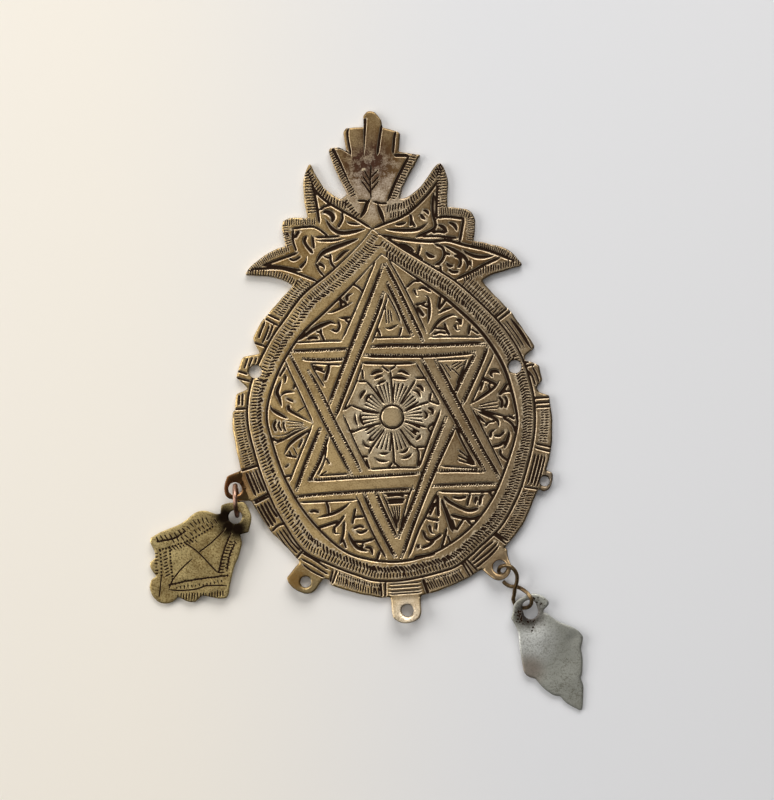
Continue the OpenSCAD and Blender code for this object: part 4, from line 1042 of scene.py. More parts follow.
RIM_RIGHT = [
    (20, 23.3), (22.3, 20.6), (23.4, 19.3), (24.3, 18.2), (25.2, 16.6), (27.4, 12.9), (28, 11.8),
    (27.9, 11.3), (26.1, 10), (25.9, 9.2), (27.5, 8.7), (28.7, 8), (28.8, 6.6), (29, 5.1), (28.4, 4.6),
    (27.8, 3.8), (28.2, 3.1), (30.1, 2.2), (30.3, 0.2), (30.4, -2.5), (30.2, -5.5), (29.8, -8),
    (29.2, -10.2), (28.6, -12), (26.7, -15.6), (25.6, -17.8), (23.9, -21.3), (22.6, -23), (21, -24.7),
    (19.9, -25.8),
]
RIM_BOTTOM = [
    (18.8, -26.4), (16.8, -28.6), (14.4, -30.3), (12.4, -31.3), (9, -32.7), (5, -33.8), (3.2, -34),
    (-2.9, -34), (-4.8, -33.9), (-9, -32.8), (-12.6, -31.5), (-13.8, -30.8), (-14, -29.9), (-17, -28.9),
    (-18.6, -27.4), (-19.4, -26),
]
RIM_LEFT = [
    (-20.1, -25.2), (-22.3, -22.4), (-24.4, -20.1), (-25.2, -18.8), (-27.3, -15), (-27.6, -14.1),
    (-28.7, -11.8), (-29.2, -9.5), (-29.3, -8), (-29.9, -4.2), (-30.4, 0), (-30.2, 3.2), (-29.7, 3.6),
    (-29.4, 5.8), (-29.2, 6.6), (-27, 7.4), (-27.8, 8.5), (-29.1, 9.7), (-28.6, 11), (-27.7, 13.2),
    (-27.3, 13.6), (-24.2, 14), (-25.1, 15.9), (-25.3, 16.9), (-24.2, 19), (-23.4, 20.1), (-22.2, 21.3),
    (-20, 23.5), (-17.6, 25.9), (-17, 26.3),
]
WING_LEFT = [
    (-18, 27.1), (-20, 28), (-22.5, 28.6), (-25.7, 28.9), (-25.9, 29.2), (-25.3, 30.2), (-24.3, 31),
    (-22.5, 32.3), (-20, 33.5), (-18, 34),
]
STEP_LEFT = [
    (-18.2, 36), (-18.4, 37.5), (-18.1, 38.8), (-17, 39.3), (-13.4, 39.1),
]
HORN_LEFT = [
    (-13.7, 41.5), (-13.9, 44), (-13.7, 46), (-13.2, 47.8), (-12.5, 49), (-12.1, 49.2), (-11.6, 48),
    (-10.8, 46.3), (-10, 44.8), (-8.5, 43.2), (-6.8, 42.1),
]
HAND_LEFT = [
    (-5.6, 43), (-7.4, 47.4), (-8.6, 51.4), (-8.2, 52), (-6.3, 52), (-5.2, 51.2), (-5.5, 54.8),
    (-4.9, 55.6), (-1.6, 55.5), (-1.5, 57.6), (-0.7, 58.4),
]
PLATE_EDGE = (HAND_RIGHT + HORN_RIGHT + STEP_RIGHT + WING_RIGHT + RIM_RIGHT + RIM_BOTTOM
              + RIM_LEFT + WING_LEFT + STEP_LEFT + HORN_LEFT + HAND_LEFT)
# Each ear: its outline, a point on its fold, the way it points and its bend in degrees,
# and its hole's middle and radius.
EARS = [
    ([(-27.4, -9), (-29.3, -7.9), (-30.5, -8.3), (-31.9, -8.7), (-32.4, -9.8), (-32.6, -11.2),
      (-32.4, -12.5), (-31.8, -13.1), (-30.6, -13.4), (-29, -13.8), (-26.6, -14)],
     (-28.6, -11), 193, 32, (-30.6, -11.3), 1.25),
    ([(-17.4, -26), (-19.2, -25.8), (-20.5, -27.1), (-22.1, -28.8), (-21.9, -29.6), (-21.2, -30.6),
      (-20.2, -31.5), (-18.7, -32.2), (-17.4, -32.1), (-16.5, -31.4), (-15.9, -30.6), (-14.2, -28.4)],
     (-17.4, -28.4), 237, 15, (-18.5, -29.9), 1.05),
    ([(-2.9, -32.6), (-2.6, -34.5), (-2.6, -36.5), (-2.5, -37.8), (-1.6, -38.5), (-0.6, -38.9),
      (0.6, -39), (1.8, -38.7), (2.7, -38), (3.1, -37), (3.1, -35), (3.1, -32.6)],
     (0.2, -33.9), 270, 20, (0.4, -36.6), 1.15),
    ([(13.6, -28.6), (15.2, -30), (16.2, -31.1), (17.2, -32), (18.3, -32.2), (19.5, -31.7),
      (20.4, -30.7), (20.7, -29.5), (20.2, -28.1), (20.1, -26.4), (18.4, -25.2)],
     (17, -28.3), 305, 22, (18.4, -29.6), 1.3),
    ([(26.4, -12), (28.6, -11.9), (29.5, -12.3), (29.8, -12.9), (29.6, -14), (29.2, -15.1),
      (28.6, -15.8), (27.7, -16), (27, -15.5), (25.4, -14.6)],
     (27.6, -13.6), 337, 12, (28.1, -14), 0.95),
]
SIDE_HOLES = [(-25.3, 10.6), (24, 8.1)]
SIDE_HOLE_R = 1.25
SHEET_T = 1.2
EAR_T = 1.0
WOBBLE = 0.05

xs = np.arange(-34, 32, FIELD_STEP)
ys = np.arange(-40.5, 60, FIELD_STEP)
body_field = inside_by(soften(PLATE_EDGE), xs, ys)
ear_fields = [inside_by(soften(ear[0]), xs, ys) for ear in EARS]
plate_field = body_field
for ear_field in ear_fields:
    plate_field = joined(plate_field, ear_field)
# The saw and the file left the edge a little uneven.
uneven = np.sin(xs * 1.7)[None, :] * np.sin(ys * 1.3 + 1)[:, None]
plate_field = plate_field - WOBBLE * (1 + uneven)
for hole, r in [ear[4:] for ear in EARS] + [(hole, SIDE_HOLE_R) for hole in SIDE_HOLES]:
    plate_field = drilled(plate_field, xs, ys, hole, r)
print("plate area, mm2:", round(float((plate_field > 0).sum()) * FIELD_STEP**2))


# %% [markdown]
# Old sheet is never quite flat. The front gets a few very low waves, a hundredth or two of
# a millimetre high, which bend the light on the bare metal. Each ear rises from its fold
# along a smooth curve, and only the ear rises, not the rim beside it.

# %% Heights of the plate
WAVES = [(0.62, 0.25, 1.0), (-0.3, 0.7, 2.1), (0.9, -0.6, 0.4), (0.35, 1.1, 3.0)]
WAVE_H = 0.014
BOSS_RISE = 0.28
EAR_BLEND = 0.4
FOLD_SOFT = 0.6


def waves(x, y):
    """The sum of a few sine waves across the sheet."""
    return sum(WAVE_H * np.sin(a * x + b * y + c) for a, b, c in WAVES)


def ear_rise(x, y):
    """How much each place rises with its ear, and how much thinner it is there. The rise is
    a hyperbola: flat before the fold, a straight slope behind it, and a soft bend between."""
    rise, share = np.zeros_like(x), np.zeros_like(x)
    body = read((xs, ys, body_field), x, y)
    for ear, ear_field in zip(EARS, ear_fields):
        fold, out, bend = ear[1:4]
        own = read((xs, ys, ear_field), x, y)
        part = 1 - np.clip(np.maximum(body + EAR_BLEND, -own) / EAR_BLEND, 0, 1)
        out, slope = math.radians(out), math.tan(math.radians(bend))
        d = (x - fold[0]) * math.cos(out) + (y - fold[1]) * math.sin(out)
        rise = np.maximum(rise, part * slope * (d + np.sqrt(d * d + FOLD_SOFT)) / 2)
        share = np.maximum(share, part * (SHEET_T - EAR_T / math.cos(math.radians(bend))))
    return rise, share


def plate_top(x, y):
    """The thickness with the ears' rise, the waves, and the boss as half an ellipse."""
    rise, thinner = ear_rise(x, y)
    away = np.hypot(x - BOSS[0], y - BOSS[1]) / BOSS_R
    boss = BOSS_RISE * np.sqrt(np.clip(1 - away**2, 0, 1))
    return SHEET_T - thinner + rise + waves(x, y) + boss


def plate_bottom(x, y):
    """Flat, but for the ears."""
    return ear_rise(x, y)[0]


plate = sheet("plate_engraved", (xs, ys, plate_field), plate_cuts, plate_top, plate_bottom,
              pitch=0.6)

# %% [markdown]
# The left drop is a cut-down corner of some older engraved piece. Its lines are those of
# that older pattern: a cross of thin lines, rows of dots for twisted wire, and ticks along
# two sides. It leans on one corner, with the other end lifted by its ring. The same sheet
# function makes it, with its own outline and cuts, and its back is a sloping plane.

# %% The left drop
DROP_T = 0.6
DROP_LEFT_EDGE = [
    (-33.4, -14.2), (-32.5, -13.9), (-30.8, -13.8), (-29.2, -13.9), (-28.5, -14.6), (-27.8, -16.5),
    (-27.9, -17.6), (-28.6, -19.7), (-30.2, -20), (-29.9, -21.6), (-30.8, -24.2), (-31.8, -26),
    (-32.9, -29.6), (-33.2, -31.2), (-33.7, -31.9), (-35, -32), (-38.2, -31.1), (-39.1, -31.8),
    (-39.8, -32.3), (-41, -32.2), (-42.9, -31.1), (-43.9, -32), (-45.4, -32.3), (-46.7, -31.9),
    (-47.8, -30.7), (-48.3, -28.9), (-47.8, -27.5), (-46.8, -26.9), (-47.8, -25.2), (-47.8, -24.2),
    (-46.7, -23.3), (-46.7, -22.2), (-47.5, -20.4), (-47.3, -19.5), (-45.4, -18.5), (-41.2, -17.2),
    (-38.6, -15.3), (-37.6, -15), (-36.4, -15), (-34.6, -15.8), (-33.7, -15.8),
]
DROP_LEFT_HOLE = ((-30.9, -16.6), 1.3)
DROP_LEFT_FOOT = (-47.6, -31.4)
DROP_LEFT_AIM = 42
DROP_LEFT_LEAN = 5
DROP_LINE, DROP_TICK, DROP_SOOT = 0.2, 0.22, 7
DROP_LEFT_LINES = [
    [(-41, -20.7), (-38.4, -22.9), (-35, -27)], [(-33.1, -18.9), (-35.8, -21.2), (-38.4, -22.9)],
    [(-39.8, -24.1), (-42.2, -26.1), (-43.8, -28), (-44.5, -29.4)],
    [(-44.4, -28.7), (-41.2, -28.2), (-38.2, -27.9), (-33.2, -27.6)],
    [(-44.5, -29.6), (-42.2, -29.9), (-39.3, -29.8), (-37.2, -29.3), (-33.4, -29.5)],
    [(-34.8, -26.9), (-34.1, -24.5), (-33.2, -22.1), (-32, -19.7)],
    [(-33.2, -26.6), (-32.5, -23.8), (-31.3, -21.6)], [(-45.8, -27), (-46.1, -28.8), (-46.5, -30.8)],
    [(-46, -20.3), (-42.9, -19.9), (-40.9, -18.9)],
]
# These are rows of punched dots, and so are three of the lines above.
DROP_LEFT_STITCHES = [
    [(-43.8, -21.6), (-43.8, -23.5), (-43.7, -27.6)],
    [(-45.7, -21.9), (-43.6, -21.5), (-41.4, -20.9), (-39.3, -20.2), (-37.2, -19.2), (-35.3, -18.2)],
    [(-45.6, -22.1), (-45.6, -24), (-45.7, -26.8)],
    *(DROP_LEFT_LINES[n] for n in (3, 5, 8)),
]
# Each row: the path, the distance to its left, and the ticks' length, pitch and lean.
DROP_LEFT_TICKS = [
    ([(-46, -19.2), (-42.2, -18.3), (-38.6, -16.4), (-36.2, -16)], -1.25, 0.95, 0.85, 15),
    ([(-43, -20), (-40.6, -19.4), (-37.6, -17.9), (-34.6, -16.9)], -0.75, 0.85, 0.85, 15),
    ([(-43, -30.3), (-39, -30.3), (-34.4, -30)], -1.5, 1.2, 0.52, -8),
    ([(-43, -28.9), (-39, -28.8), (-34.4, -28.3)], -0.5, 0.45, 0.7, 0),
    ([(-33.9, -27), (-33, -24), (-31.6, -21.4)], 0.1, 0.7, 0.6, 20),
    ([(-32.9, -26.4), (-32.1, -23.8), (-31, -21.6)], 0.1, 0.6, 0.6, -20),
    ([(-44.6, -22.6), (-44.6, -27)], -0.4, 0.7, 0.6, 20),
    ([(-46.4, -22.6), (-46.6, -26.4)], -0.3, 0.5, 0.55, 0),
    ([(-43.4, -22.2), (-41, -21.7), (-38.6, -20.8)], 0.1, 0.5, 0.6, 20),
]


def climb(x, y, foot, aim):
    """The distance from the foot, measured in the direction `aim` degrees from above."""
    aim = math.radians(aim)
    return (x - foot[0]) * math.cos(aim) + (y - foot[1]) * math.sin(aim)


def drop_left_back(x, y):
    """A plane that rises from the foot by the tangent of its lean."""
    d = climb(x, y, DROP_LEFT_FOOT, DROP_LEFT_AIM)
    return np.maximum(d, 0) * math.tan(math.radians(DROP_LEFT_LEAN))


def drop_grid(outline, hole, r, end=None):
    """The field of one drop: its softened outline with the hole cut out."""
    spots = soften(outline, 0.2)
    low, high = spots.min(0) - 1, spots.max(0) + 1
    gx, gy = np.arange(low[0], high[0], FIELD_STEP), np.arange(low[1], high[1], FIELD_STEP)
    return gx, gy, drilled(inside_by(spots, gx, gy) - 0.02, gx, gy, hole, r, end)


left_cuts = [cut(line, DROP_LINE, row, FINE_LIP, DROP_SOOT) for row in DROP_LEFT_LINES]
for row in DROP_LEFT_TICKS:
    left_cuts += ticks(*row, DROP_TICK)
for path in DROP_LEFT_STITCHES:
    left_cuts += dots(path, inset=0, pitch=0.6, radius=0.24, soot=DROP_SOOT)
drop_left = sheet(
    "drop_left_sheet", drop_grid(DROP_LEFT_EDGE, *DROP_LEFT_HOLE), left_cuts,
    lambda x, y: drop_left_back(x, y) + DROP_T + waves(x * 2, y * 2), drop_left_back,
    pitch=0.5, bevel=0.12)

# %% [markdown]
# The right drop is thin bare metal, bent by wear, with a torn eye. It is all surface: soft
# bends and dents in a smooth sheet, and corroded pits round the eye. It was bent across its
# length only, so one height for each distance from its tip gives the bends.

# %% The right drop
DROP_RIGHT_EDGE = [
    (19.9, -39.6), (20.3, -38.2), (20.5, -37), (21.1, -36.2), (22.4, -35.5), (24.2, -35), (25.5, -35.3),
    (26.6, -36), (27.2, -36.7), (27.2, -37.4), (26.2, -38.2), (26.1, -38.7), (27, -39.2), (28.7, -40.7),
    (31.5, -42), (32.6, -42.8), (33.3, -43.9), (33.2, -44.8), (32.7, -46), (33, -48), (32.7, -51),
    (32.3, -51.7), (32.8, -53.2), (32.4, -57), (32.2, -57.8), (31.8, -58), (29.8, -56.8), (28.9, -56),
    (28.2, -55), (27, -54.8), (25, -53.2), (23.7, -51.3), (22.4, -50.9), (21.6, -50), (21.4, -48),
    (21.1, -45.5), (21.1, -42.3), (20.4, -40.5),
]
# The eye is torn, so it is a slot: its ends and its half width.
DROP_RIGHT_EYE = ((23.5, -37.6), 1.4, (23.7, -38.5))
DROP_RIGHT_TIP = (31.6, -58)
DROP_RIGHT_AIM = 112
BEND_AT = [-1, 2, 6, 11, 15, 18, 24.5]
BEND_HEIGHT = [0, 0, 0.3, 0.5, 0.9, 1.15, 1.25]
# Each row: the middle of a dent, its reach in mm and its depth.
DENTS = [((29, -48), 3.2, 0.07), ((25, -43.5), 2.4, -0.06), ((30.5, -52.5), 2.2, -0.05),
         ((31.3, -44.2), 1.1, 0.09), ((24, -41), 1.3, 0.12), ((24.6, -50.5), 1.6, 0.06)]
# Each row: the middle of a patch of pits, its reach in mm and how many pits it has.
PIT_PATCHES = [((22.8, -39.7), 1, 44), ((25.4, -37), 0.8, 14), ((21.2, -38.4), 0.6, 18)]
PIT_R = (0.08, 0.2)
PIT_SOOT = 6


def pits():
    """Small dark pits of uneven size, strewn thickly round the eye."""
    made = []
    for middle, reach, many in PIT_PATCHES:
        for x, y in chance.normal(middle, reach, (many, 2)):
            made.append(np.array([[x, y, chance.uniform(*PIT_R), 0, 0, PIT_SOOT]]))
    return made


def drop_right_back(x, y):
    """The bent sheet: straight slopes between a few bends, rounded a little."""
    d = climb(x, y, DROP_RIGHT_TIP, DROP_RIGHT_AIM)
    soft = [np.interp(d + s, BEND_AT, BEND_HEIGHT) for s in (-2.5, -1.5, -0.5, 0.5, 1.5, 2.5)]
    return np.mean(soft, axis=0)


def drop_right_top(x, y):
    """The back plus the thickness, with round dents pressed in or out."""
    dent = sum(deep * np.exp(-((x - c[0])**2 + (y - c[1])**2) / reach**2) for c, reach, deep in DENTS)
    return drop_right_back(x, y) + DROP_T - dent


drop_right = sheet(
    "drop_right_sheet", drop_grid(DROP_RIGHT_EDGE, *DROP_RIGHT_EYE), pits(),
    drop_right_top, drop_right_back, pitch=0.45, bevel=0.14)

# %% [markdown]
# The copper ring stands upright in the left ear: a circle of wire whose two ends meet in a
# fine seam, a little flattened by pliers. The right link is one wire, bent into a figure of
# eight that holds ear and drop. Both could be curves with a round bevel, but a circle
# carried along a path as one array gives each place its own thickness.

# %% Wire along a path
def tube(name, path, radius, sides=16, loop=False):
    """A round wire: at each point of the path a circle in the plane across it. The circle's
    own axes are carried along with the least turning, and open ends are closed by caps."""
    p = np.asarray(path, float)
    n = len(p)
    ahead = (np.roll(p, -1, 0) - np.roll(p, 1, 0)) if loop else np.gradient(p, axis=0)
    ahead /= np.linalg.norm(ahead, axis=1)[:, None]
    side = np.zeros_like(p)
    side[0] = np.cross(ahead[0], [0.3, 0.2, 1])
    for i in range(1, n):
        side[i] = side[i - 1] - ahead[i] * (side[i - 1] @ ahead[i])
        side[i] /= np.linalg.norm(side[i])
    side[0] /= np.linalg.norm(side[0])
    up = np.cross(ahead, side)
    turn = np.linspace(0, 2 * np.pi, sides, endpoint=False)
    circle = np.cos(turn)[None, :, None] * side[:, None] + np.sin(turn)[None, :, None] * up[:, None]
    rings = p[:, None] + circle * np.asarray(radius)[:, None, None]
    i = np.arange(n if loop else n - 1)[:, None] * sides
    j = np.arange(sides)[None, :]
    nxt, after = (j + 1) % sides, (i + sides) % (n * sides)
    faces = np.stack([i + j, i + nxt, after + nxt, after + j], -1).reshape(-1, 4).tolist()
    if not loop:
        faces += [list(range(sides))[::-1], list(range((n - 1) * sides, n * sides))]
    piece = new_piece(name, rings.reshape(-1, 3), faces)
    print(name, len(faces), "faces")
    return piece


# %% The ring and the link
RING_MIDDLE = (-30.45, -13.5, 3.27)
RING_R = 2.85
RING_WIRE = 0.84
LINK_WIRE = 0.76
LINK_PATH = [
    (19, -31.2, 0.42), (18.5, -31, 0.48), (18.2, -30.5, 0.8), (18.3, -29.9, 1.5), (18.6, -29.5, 2.3),
    (19.3, -29.3, 2.9), (20.3, -29.5, 3.1), (21.1, -30.3, 3), (21.5, -31.4, 2.7), (21.4, -32.6, 2.3),
    (21, -33.8, 1.8), (20.8, -35, 1.2), (20.6, -36.1, 0.6), (21.1, -37.2, 0.42), (22.1, -37.7, 0.5),
    (23, -37.7, 1), (23.6, -37.3, 1.8), (23.9, -36.6, 2.5), (23.8, -35.7, 2.7), (23.2, -34.8, 2.2),
    (22.2, -34, 1.3), (21.2, -33.6, 0.55), (20.2, -33.5, 0.42), (19.4, -33, 0.42), (18.9, -32.4, 0.42),
]
LINK_STEP = 0.16
SEAM_AT, SEAM_WIDE = 0.62, 0.0035

share = np.linspace(0, 1, 240, endpoint=False)
angle = 2 * np.pi * share
ring_path = np.column_stack([
    np.full_like(angle, RING_MIDDLE[0]),
    RING_MIDDLE[1] + RING_R * np.cos(angle),
    RING_MIDDLE[2] + RING_R * np.sin(angle),
])
# The wire's thickness varies by a hundredth or so, and dips by a fifth at the seam.
seam = np.exp(-((share - SEAM_AT) / SEAM_WIDE)**2)
ring_r = RING_WIRE / 2 * (0.985 + 0.012 * np.sin(7 * angle + 1) - 0.2 * seam)
ring = tube("ring_left_wire", ring_path, ring_r, 20, loop=True)

# The link's two ends are rounded off over the last fraction of a millimetre.
link_path = curve(LINK_PATH, LINK_STEP)
link_share = np.linspace(0, 1, len(link_path))
ends = np.minimum(link_share, 1 - link_share) * len(link_path) * LINK_STEP
link_r = LINK_WIRE / 2 * (0.98 + 0.015 * np.sin(31 * link_share)) * np.clip(0.7 + ends * 2, 0, 1)
link = tube("link_right_wire", link_path, link_r)

# %% [markdown]
# Materials come next. Old silver is three things at once: clean metal where fingers and
# cloth rub it, a yellow to brown tarnish that grows in patches, and black dirt that stays
# in the cuts. All the metals here share that recipe, so it is one node group, and each
# metal gives it its own colours.

# %% Helpers for node trees
COLOUR, VALUE = "NodeSocketColor", "NodeSocketFloat"


def node(tree, kind, values=None, **settings):
    """A node with its settings, and its inputs set to a constant or linked to a socket."""
    made = tree.nodes.new(kind)
    for key, value in settings.items():
        setattr(made, key, value)
    for key, value in (values or {}).items():
        if isinstance(value, bpy.types.NodeSocket):
            tree.links.new(value, made.inputs[key])
        else:
            made.inputs[key].default_value = value
    return made


def math_node(tree, operation, a, b=0.0):
    """One operation on two values."""
    return node(tree, "ShaderNodeMath", {0: a, 1: b}, operation=operation).outputs[0]


def folded(tree, operation, values):
    """One operation carried through a list of values, such as a sum or the largest."""
    found = values[0]
    for value in values[1:]:
        found = math_node(tree, operation, found, value)
    return found


def times(tree, a, b):
    """The product of two values."""
    return math_node(tree, "MULTIPLY", a, b)


def total(tree, *parts):
    """The sum of its parts. A part is a value, or a pair of a value and its weight."""
    return folded(tree, "ADD", [times(tree, *p) if isinstance(p, tuple) else p for p in parts])


def smooth_step(tree, value, low, high):
    """0 below `low`, 1 above `high`, and an S curve between."""
    made = node(tree, "ShaderNodeMapRange", {"Value": value, "From Min": low, "From Max": high},
                interpolation_type="SMOOTHSTEP")
    return made.outputs["Result"]


def mixed(tree, share, a, b):
    """Colour a, with a share of colour b."""
    made = node(tree, "ShaderNodeMix", {"Factor": share, "A": a, "B": b}, data_type="RGBA")
    return made.outputs["Result"]


def here(tree):
    """The place on the piece, in metres."""
    return node(tree, "ShaderNodeTexCoord").outputs["Object"]


def noise(tree, place, scale, detail=3.0, rough=0.55):
    """Soft noise between 0 and 1. At a scale of 500 its patches are about 2 mm wide."""
    made = node(tree, "ShaderNodeTexNoise",
                {"Vector": place, "Scale": scale, "Detail": detail, "Roughness": rough})
    return made.outputs["Fac"]


def new_group(name, inputs, outputs):
    """A node group with these sockets, given as names with their types."""
    tree = bpy.data.node_groups.new(name, "ShaderNodeTree")
    for way, sockets in (("INPUT", inputs), ("OUTPUT", outputs)):
        for label, kind in sockets.items():
            tree.interface.new_socket(label, in_out=way, socket_type=kind)
    given = tree.nodes.new("NodeGroupInput").outputs
    taken = tree.nodes.new("NodeGroupOutput").inputs
    return tree, given, taken


def srgb(red, green, blue):
    """A colour as the eye reads it, 0 to 255, turned into light."""
    c = np.array([red, green, blue]) / 255
    c = np.where(c <= 0.04045, c / 12.92, ((c + 0.055) / 1.055)**2.4)
    return (*c.tolist(), 1.0)


# %% The patina group
def make_patina():
    """Bare metal, tarnish and dirt, laid over each other by noise and by the cuts, with a darkening
    beside the cuts that is partly tarnish and partly painted shade.
    """
    tree, given, taken = new_group(
        "old metal patina",
        {"Bare": COLOUR, "Tarnish": COLOUR, "Dirt": COLOUR, "Wall": COLOUR, "Cut": VALUE,
         "Grime_and_shade": VALUE, "Rim": VALUE, "Tarnished": VALUE, "Grain": VALUE, "Dull": VALUE},
        {"Color": COLOUR, "Roughness": VALUE, "Metal": VALUE})
    broad = noise(tree, here(tree), 110, 2)
    patch = noise(tree, here(tree), 520, 4, 0.6)
    speck = noise(tree, here(tree), 3400, 3, 0.7)
    # Tarnish grows where the noise, the darkening beside the cuts and the piece's own spots add up.
    # That darkening is partly tarnish and partly painted shade.
    blotch = total(tree, (broad, 0.3), (patch, 0.35), (speck, 0.35))
    grown = total(tree, blotch, (given["Grime_and_shade"], 0.22), (given["Tarnished"], 0.3))
    tarnish = smooth_step(tree, grown, 0.42, 0.82)
    worn = mixed(tree, tarnish, given["Bare"], given["Tarnish"])
    grain = times(tree, smooth_step(tree, speck, 0.48, 0.66), given["Grain"])
    worn = mixed(tree, grain, worn, given["Tarnish"])
    # The rim is rubbed bare here and there, and the walls of a cut stay cleaner.
    handled = smooth_step(tree, patch, 0.35, 0.6)
    rubbed = times(tree, times(tree, given["Rim"], handled), 0.5)
    worn = mixed(tree, rubbed, worn, given["Bare"])
    wall = smooth_step(tree, given["Cut"], 0.03, 0.3)
    clean = total(tree, (handled, 0.6), 0.35)
    worn = mixed(tree, times(tree, wall, clean), worn, given["Wall"])
    # Dirt fills a cut from its floor up, more or less by the patches.
    filled = total(tree, given["Cut"], (math_node(tree, "SUBTRACT", patch, 0.5), 0.4))
    dirt = smooth_step(tree, filled, 0.35, 0.72)
    rough = total(tree, (blotch, 0.45), given["Dull"], (tarnish, 0.12), (dirt, 0.4))
    tree.links.new(mixed(tree, dirt, worn, given["Dirt"]), taken["Color"])
    tree.links.new(rough, taken["Roughness"])
    tree.links.new(math_node(tree, "SUBTRACT", 1.0, dirt), taken["Metal"])
    return tree


patina = make_patina()
print("patina:", len(patina.nodes), "nodes")

# %% [markdown]
# A pendant that was worn for decades is covered with tiny marks: hairline scratches in all
# directions, and small dents and pits. Noise pulled out long in three directions gives the
# scratches, and round noise the dents. The group hands out one height for a Bump node.

# %% The wear group
SCRATCHES = (12, 74, 133)
SCRATCH_SCALE = (120, 3600, 400)


def make_wear():
    """Heights of hairline scratches in three directions, with dents and fine pits."""
    tree, given, taken = new_group("hand wear", {"Dents": VALUE}, {"Height": VALUE})
    streaks = []
    for degrees in SCRATCHES:
        turned = node(tree, "ShaderNodeMapping", {
            "Vector": here(tree), "Rotation": (0, 0, math.radians(degrees)),
            "Scale": SCRATCH_SCALE})
        streaks.append(smooth_step(tree, noise(tree, turned.outputs[0], 1, 2), 0.5, 0.72))
    dents = times(tree, noise(tree, here(tree), 700, 3), given["Dents"])
    pitted = smooth_step(tree, noise(tree, here(tree), 2300, 2), 0.62, 0.75)
    height = total(tree, dents, (total(tree, *streaks), -0.18), (pitted, -0.25))
    tree.links.new(height, taken["Height"])
    return tree


wear = make_wear()
print("wear:", len(wear.nodes), "nodes")

# %% [markdown]
# Each metal is one Principled shader fed by the two groups. Its colours could be painted on
# the mesh, but a few soft spots of colour, given by place and reach in millimetres, are
# enough for old metal, and they are easy to move.

# %% A metal from the two groups
DIRT = srgb(36, 19, 5)
CLEAN_WALL = srgb(218, 198, 166)
GLOSS = 0.16
BUMP_STRENGTH, BUMP_HEIGHT = 0.25, 0.06


def old_metal(name, bare, tarnish, tarnished, worked=True, dents=0.8, grain=0.45, dull=0.1,
              wall=CLEAN_WALL):
    """A metal from the patina and wear groups. Its colours and how tarnished it is may be
    constants or functions of the tree. Worked pieces read their cuts from the mesh."""
    material = bpy.data.materials.new(name)
    material.use_nodes = True
    tree = material.node_tree
    values = {"Dirt": DIRT, "Wall": wall, "Grain": grain, "Dull": dull}
    for label, value in (("Bare", bare), ("Tarnish", tarnish), ("Tarnished", tarnished)):
        values[label] = value(tree) if callable(value) else value
    for label in ("Cut", "Grime_and_shade", "Rim") if worked else ():
        mark = node(tree, "ShaderNodeAttribute", attribute_name=label.lower())
        values[label] = mark.outputs["Fac"]
    coat = node(tree, "ShaderNodeGroup", values, node_tree=patina).outputs
    marks = node(tree, "ShaderNodeGroup", {"Dents": dents}, node_tree=wear)
    bent = node(tree, "ShaderNodeBump", {"Strength": BUMP_STRENGTH, "Distance": BUMP_HEIGHT * MM,
                                         "Height": marks.outputs["Height"]})
    shader = tree.nodes["Principled BSDF"].inputs
    shader["Specular IOR Level"].default_value = GLOSS
    tree.links.new(coat["Color"], shader["Base Color"])
    tree.links.new(coat["Roughness"], shader["Roughness"])
    tree.links.new(coat["Metal"], shader["Metallic"])
    tree.links.new(bent.outputs["Normal"], shader["Normal"])
    return material


# %% Places on a piece
SOFT_EDGE = 0.8


def near(tree, spot, reach):
    """1 at a spot given in mm and 0 beyond its reach, with a soft edge, at any height."""
    flat = node(tree, "ShaderNodeVectorMath", {0: here(tree), 1: (1, 1, 0)}, operation="MULTIPLY")
    centre = (spot[0] * MM, spot[1] * MM, 0)
    away = node(tree, "ShaderNodeVectorMath", {0: flat.outputs[0], 1: centre}, operation="DISTANCE")
    left = math_node(tree, "SUBTRACT", reach * MM, away.outputs["Value"])
    return smooth_step(tree, left, 0, reach * MM * SOFT_EDGE)


def ramp(tree, axis, low, high):
    """0 below `low` mm on an axis, 1 above `high` mm, and an S curve between."""
    part = node(tree, "ShaderNodeSeparateXYZ", {0: here(tree)}).outputs[axis]
    return smooth_step(tree, part, low * MM, high * MM)


def spotted(tree, base, spots):
    """A colour with soft spots of other colours laid over it one after the other. Each is a
    place in mm, its reach and its colour."""
    for place, reach, colour in spots:
        base = mixed(tree, near(tree, place, reach), base, colour)
    return base


# %% [markdown]
# The plate leans to yellow at its left and to grey at its right, and its colour is also
# painted lighter at the left and darker at the right, as painted light and shade. Its
# rosette, palm and bottom ear are rubbed bright, the left ear is almost copper, and the crown
# is darker than the medallion. Each of these is a row of a table, so that a colour is one
# number to change.

# %% The silver of the plate
# The palm, the left ear and the four others, as bare metal.
BARE_SPOTS = [
    ((0, 44), 9, srgb(232, 214, 192)), ((-31.2, -11), 5, srgb(150, 104, 68)),
    ((-19, -30.2), 4.5, srgb(146, 130, 96)), ((0.3, -36.8), 4.5, srgb(214, 198, 172)),
    ((18.6, -30), 4.5, srgb(140, 118, 88)), ((28.6, -14), 2.8, srgb(120, 108, 94)),
]
# The top of the palm and the left ear, where they are tarnished.
TARNISH_SPOTS = [((-1.5, 49.5), 8, srgb(78, 52, 40)), ((-31.2, -11), 5, srgb(92, 58, 32))]
# Each spot with more tarnish, or less where it is minus: place, reach, amount.
TARNISHED_SPOTS = [
    ((0, 52), 26, 0.4), ((-19.8, -29.4), 3.4, 0.8), ((18, 30), 8, 0.75), ((-18, 31), 7, 0.4),
    ((0, 0.2), 10, -0.4), ((-0.5, 49.5), 7, 0.2), ((24, -20), 9, 0.3), ((-30, -8), 5, 0.5),
]
# Where the plate turns from yellow to grey and from painted light at the left to painted shade at the
# right, in mm.
SIDES_TONE_AND_LIGHT = (-26, 24)
FACE = (0.3, 0.8)


